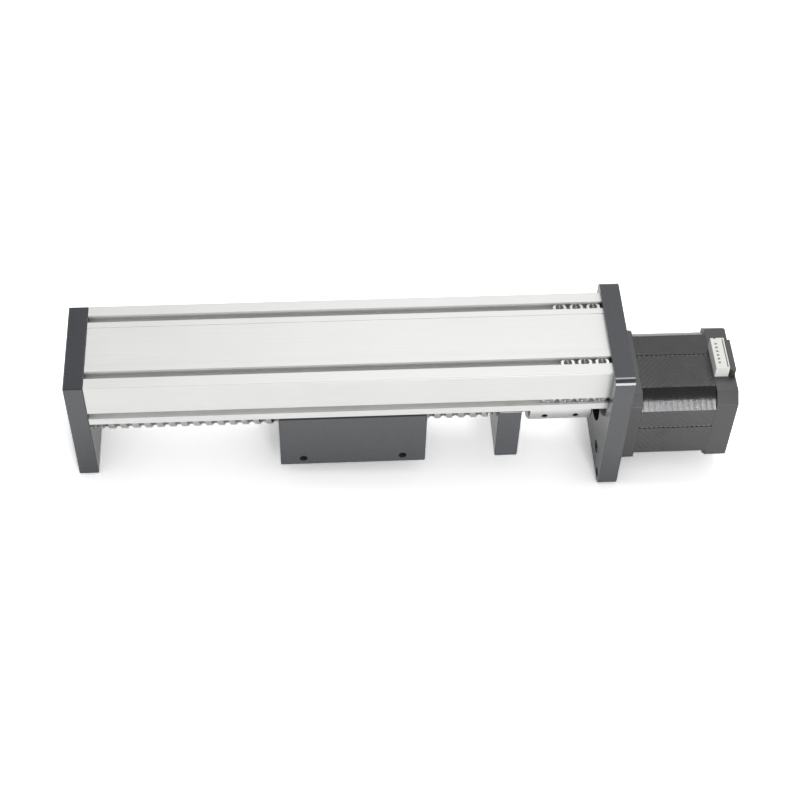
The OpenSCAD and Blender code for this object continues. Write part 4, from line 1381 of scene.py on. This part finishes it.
@dataclass
class Studio:
    """Camera, lamps, white surroundings and the pale floor on which the axis leans."""

    camera_place: Point = (0.09666, -0.44599, 0.56525)
    camera_turn: Point = (38.3729, -1.1937, -3.2224)
    lens: float = 77.56
    floor_colour: Colour = (0.86, 0.86, 0.86)
    floor_size: float = 2.4
    ambient: float = 0.52
    ceiling: float = 0.05
    back: float = 0.80
    sides: float = 0.30
    horizon_span: Span = (0.10, 0.40)
    side_span: Span = (0.45, 0.85)
    back_span: Span = (0.50, 0.60)
    back_slope: Span = (-0.38, 0.30)
    lift: float = 0.05
    gain: float = 1.15
    mirrored: float = 0.24

    def camera(self) -> None:
        """Makes the camera and sets it as the scene's own."""
        data = bpy.data.cameras.new("camera")
        data.lens = self.lens
        data.sensor_width = 36.0
        data.clip_start = 0.01
        data.clip_end = 20.0
        cam = bpy.data.objects.new("camera", data)
        cam.location = self.camera_place
        cam.rotation_euler = tuple(math.radians(a) for a in self.camera_turn)
        bpy.context.scene.collection.objects.link(cam)
        bpy.context.scene.camera = cam

    def surroundings(self) -> None:
        """White world for the camera, dimmer as a light, and shaped for what metal mirrors.

        What metal mirrors is bright near the horizon and falls off upwards and to
        both sides, with a brighter part high behind the axis.
        """
        world = bpy.data.worlds.new("surroundings")
        bpy.context.scene.world = world
        world.use_nodes = True
        sky = Tree(world.node_tree)
        out = sky.add("ShaderNodeOutputWorld")
        shade = sky.add("ShaderNodeBackground")
        shade.inputs["Color"].default_value = (1.0, 1.0, 1.0, 1.0)
        path = sky.add("ShaderNodeLightPath").outputs
        direction = sky.add("ShaderNodeTexCoord")
        parts = sky.add("ShaderNodeSeparateXYZ")
        sky.join(direction.outputs["Generated"], parts.inputs[0])
        right, behind, up = parts.outputs
        horizon = sky.remap(up, self.horizon_span, (1.0, self.ceiling))
        dim = sky.remap(sky.maths("ABSOLUTE", right), self.side_span, (1.0, self.sides))
        gate = sky.remap(behind, self.back_span, (0.0, 1.0))
        glow = sky.maths("MULTIPLY", gate, sky.remap(right, self.back_slope, (0.0, self.back)))
        glossy = sky.maths("MAXIMUM", sky.maths("MULTIPLY", horizon, dim), glow)
        lit = sky.mixed(path["Is Glossy Ray"], self.ambient, glossy)
        seen = sky.maths("MAXIMUM", path["Is Camera Ray"], path["Is Transmission Ray"])
        sky.join(sky.mixed(seen, lit, 1.0), shade.inputs["Strength"])
        sky.join(shade.outputs[0], out.inputs["Surface"])

    def floor(self) -> None:
        """Pale floor through the idler plate's foot and the motor plate's foot."""
        idler_low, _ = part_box("idler_plate")
        plate_low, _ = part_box("motor_plate")
        slope = math.atan2(idler_low.z - plate_low.z, plate_low.x - idler_low.x)
        deselect()
        bpy.ops.mesh.primitive_plane_add(size=self.floor_size, location=(0, 0, 0))
        floor = bpy.context.object
        floor.name = "floor"
        floor.rotation_euler = (0.0, slope, 0.0)
        floor.location = (idler_low.x, 0.0, idler_low.z)
        graph = Graph("pale_floor")
        graph.shader.inputs["Roughness"].default_value = 0.9
        clouds = graph.noise(graph.place(), 3.0)
        shade = tuple(0.98 * c for c in self.floor_colour)
        tint = graph.blend(graph.spread(clouds, (0.0, 1.0)), shade, self.floor_colour)
        graph.join(tint, graph.shader.inputs["Base Color"])
        lift = graph.add("ShaderNodeEmission")
        lift.inputs["Strength"].default_value = self.lift
        extra = graph.add("ShaderNodeBsdfDiffuse")
        extra.inputs["Color"].default_value = (self.gain, self.gain, self.gain, 1.0)
        more = graph.add("ShaderNodeAddShader")
        graph.join(lift.outputs[0], more.inputs[0])
        graph.join(extra.outputs[0], more.inputs[1])
        path = graph.add("ShaderNodeLightPath").outputs
        mirrored = graph.maths("MULTIPLY", path["Is Glossy Ray"], self.mirrored)
        part = graph.add("ShaderNodeMixShader")
        graph.join(graph.maths("MAXIMUM", path["Is Camera Ray"], mirrored), part.inputs["Fac"])
        graph.join(more.outputs[0], part.inputs[2])
        total = graph.add("ShaderNodeAddShader")
        graph.join(graph.shader.outputs["BSDF"], total.inputs[0])
        graph.join(part.outputs[0], total.inputs[1])
        graph.join(total.outputs[0], graph.output.inputs["Surface"])
        floor.data.materials.append(graph.material)

    def build(self) -> None:
        """Sets up the whole studio."""
        bpy.context.scene.view_settings.view_transform = "Standard"
        self.camera()
        self.surroundings()
        self.floor()
        for softbox in (KEY, FRONT):
            softbox.light()


def main() -> None:
    """Builds and dresses every piece, then sets up the studio."""
    logging.basicConfig(level=logging.INFO, format="%(name)s: %(message)s")
    for name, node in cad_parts.items():
        dress(node, NODE_FINISHES.get(name, BLACK_OXIDE))
        LOG.info("dressed %s", name)
    Machined().build()
    BallScrew().build()
    SlotNuts().build()
    CapScrews().build()
    MotorStack().build()
    Studio().build()


if __name__ == "__main__":
    main()
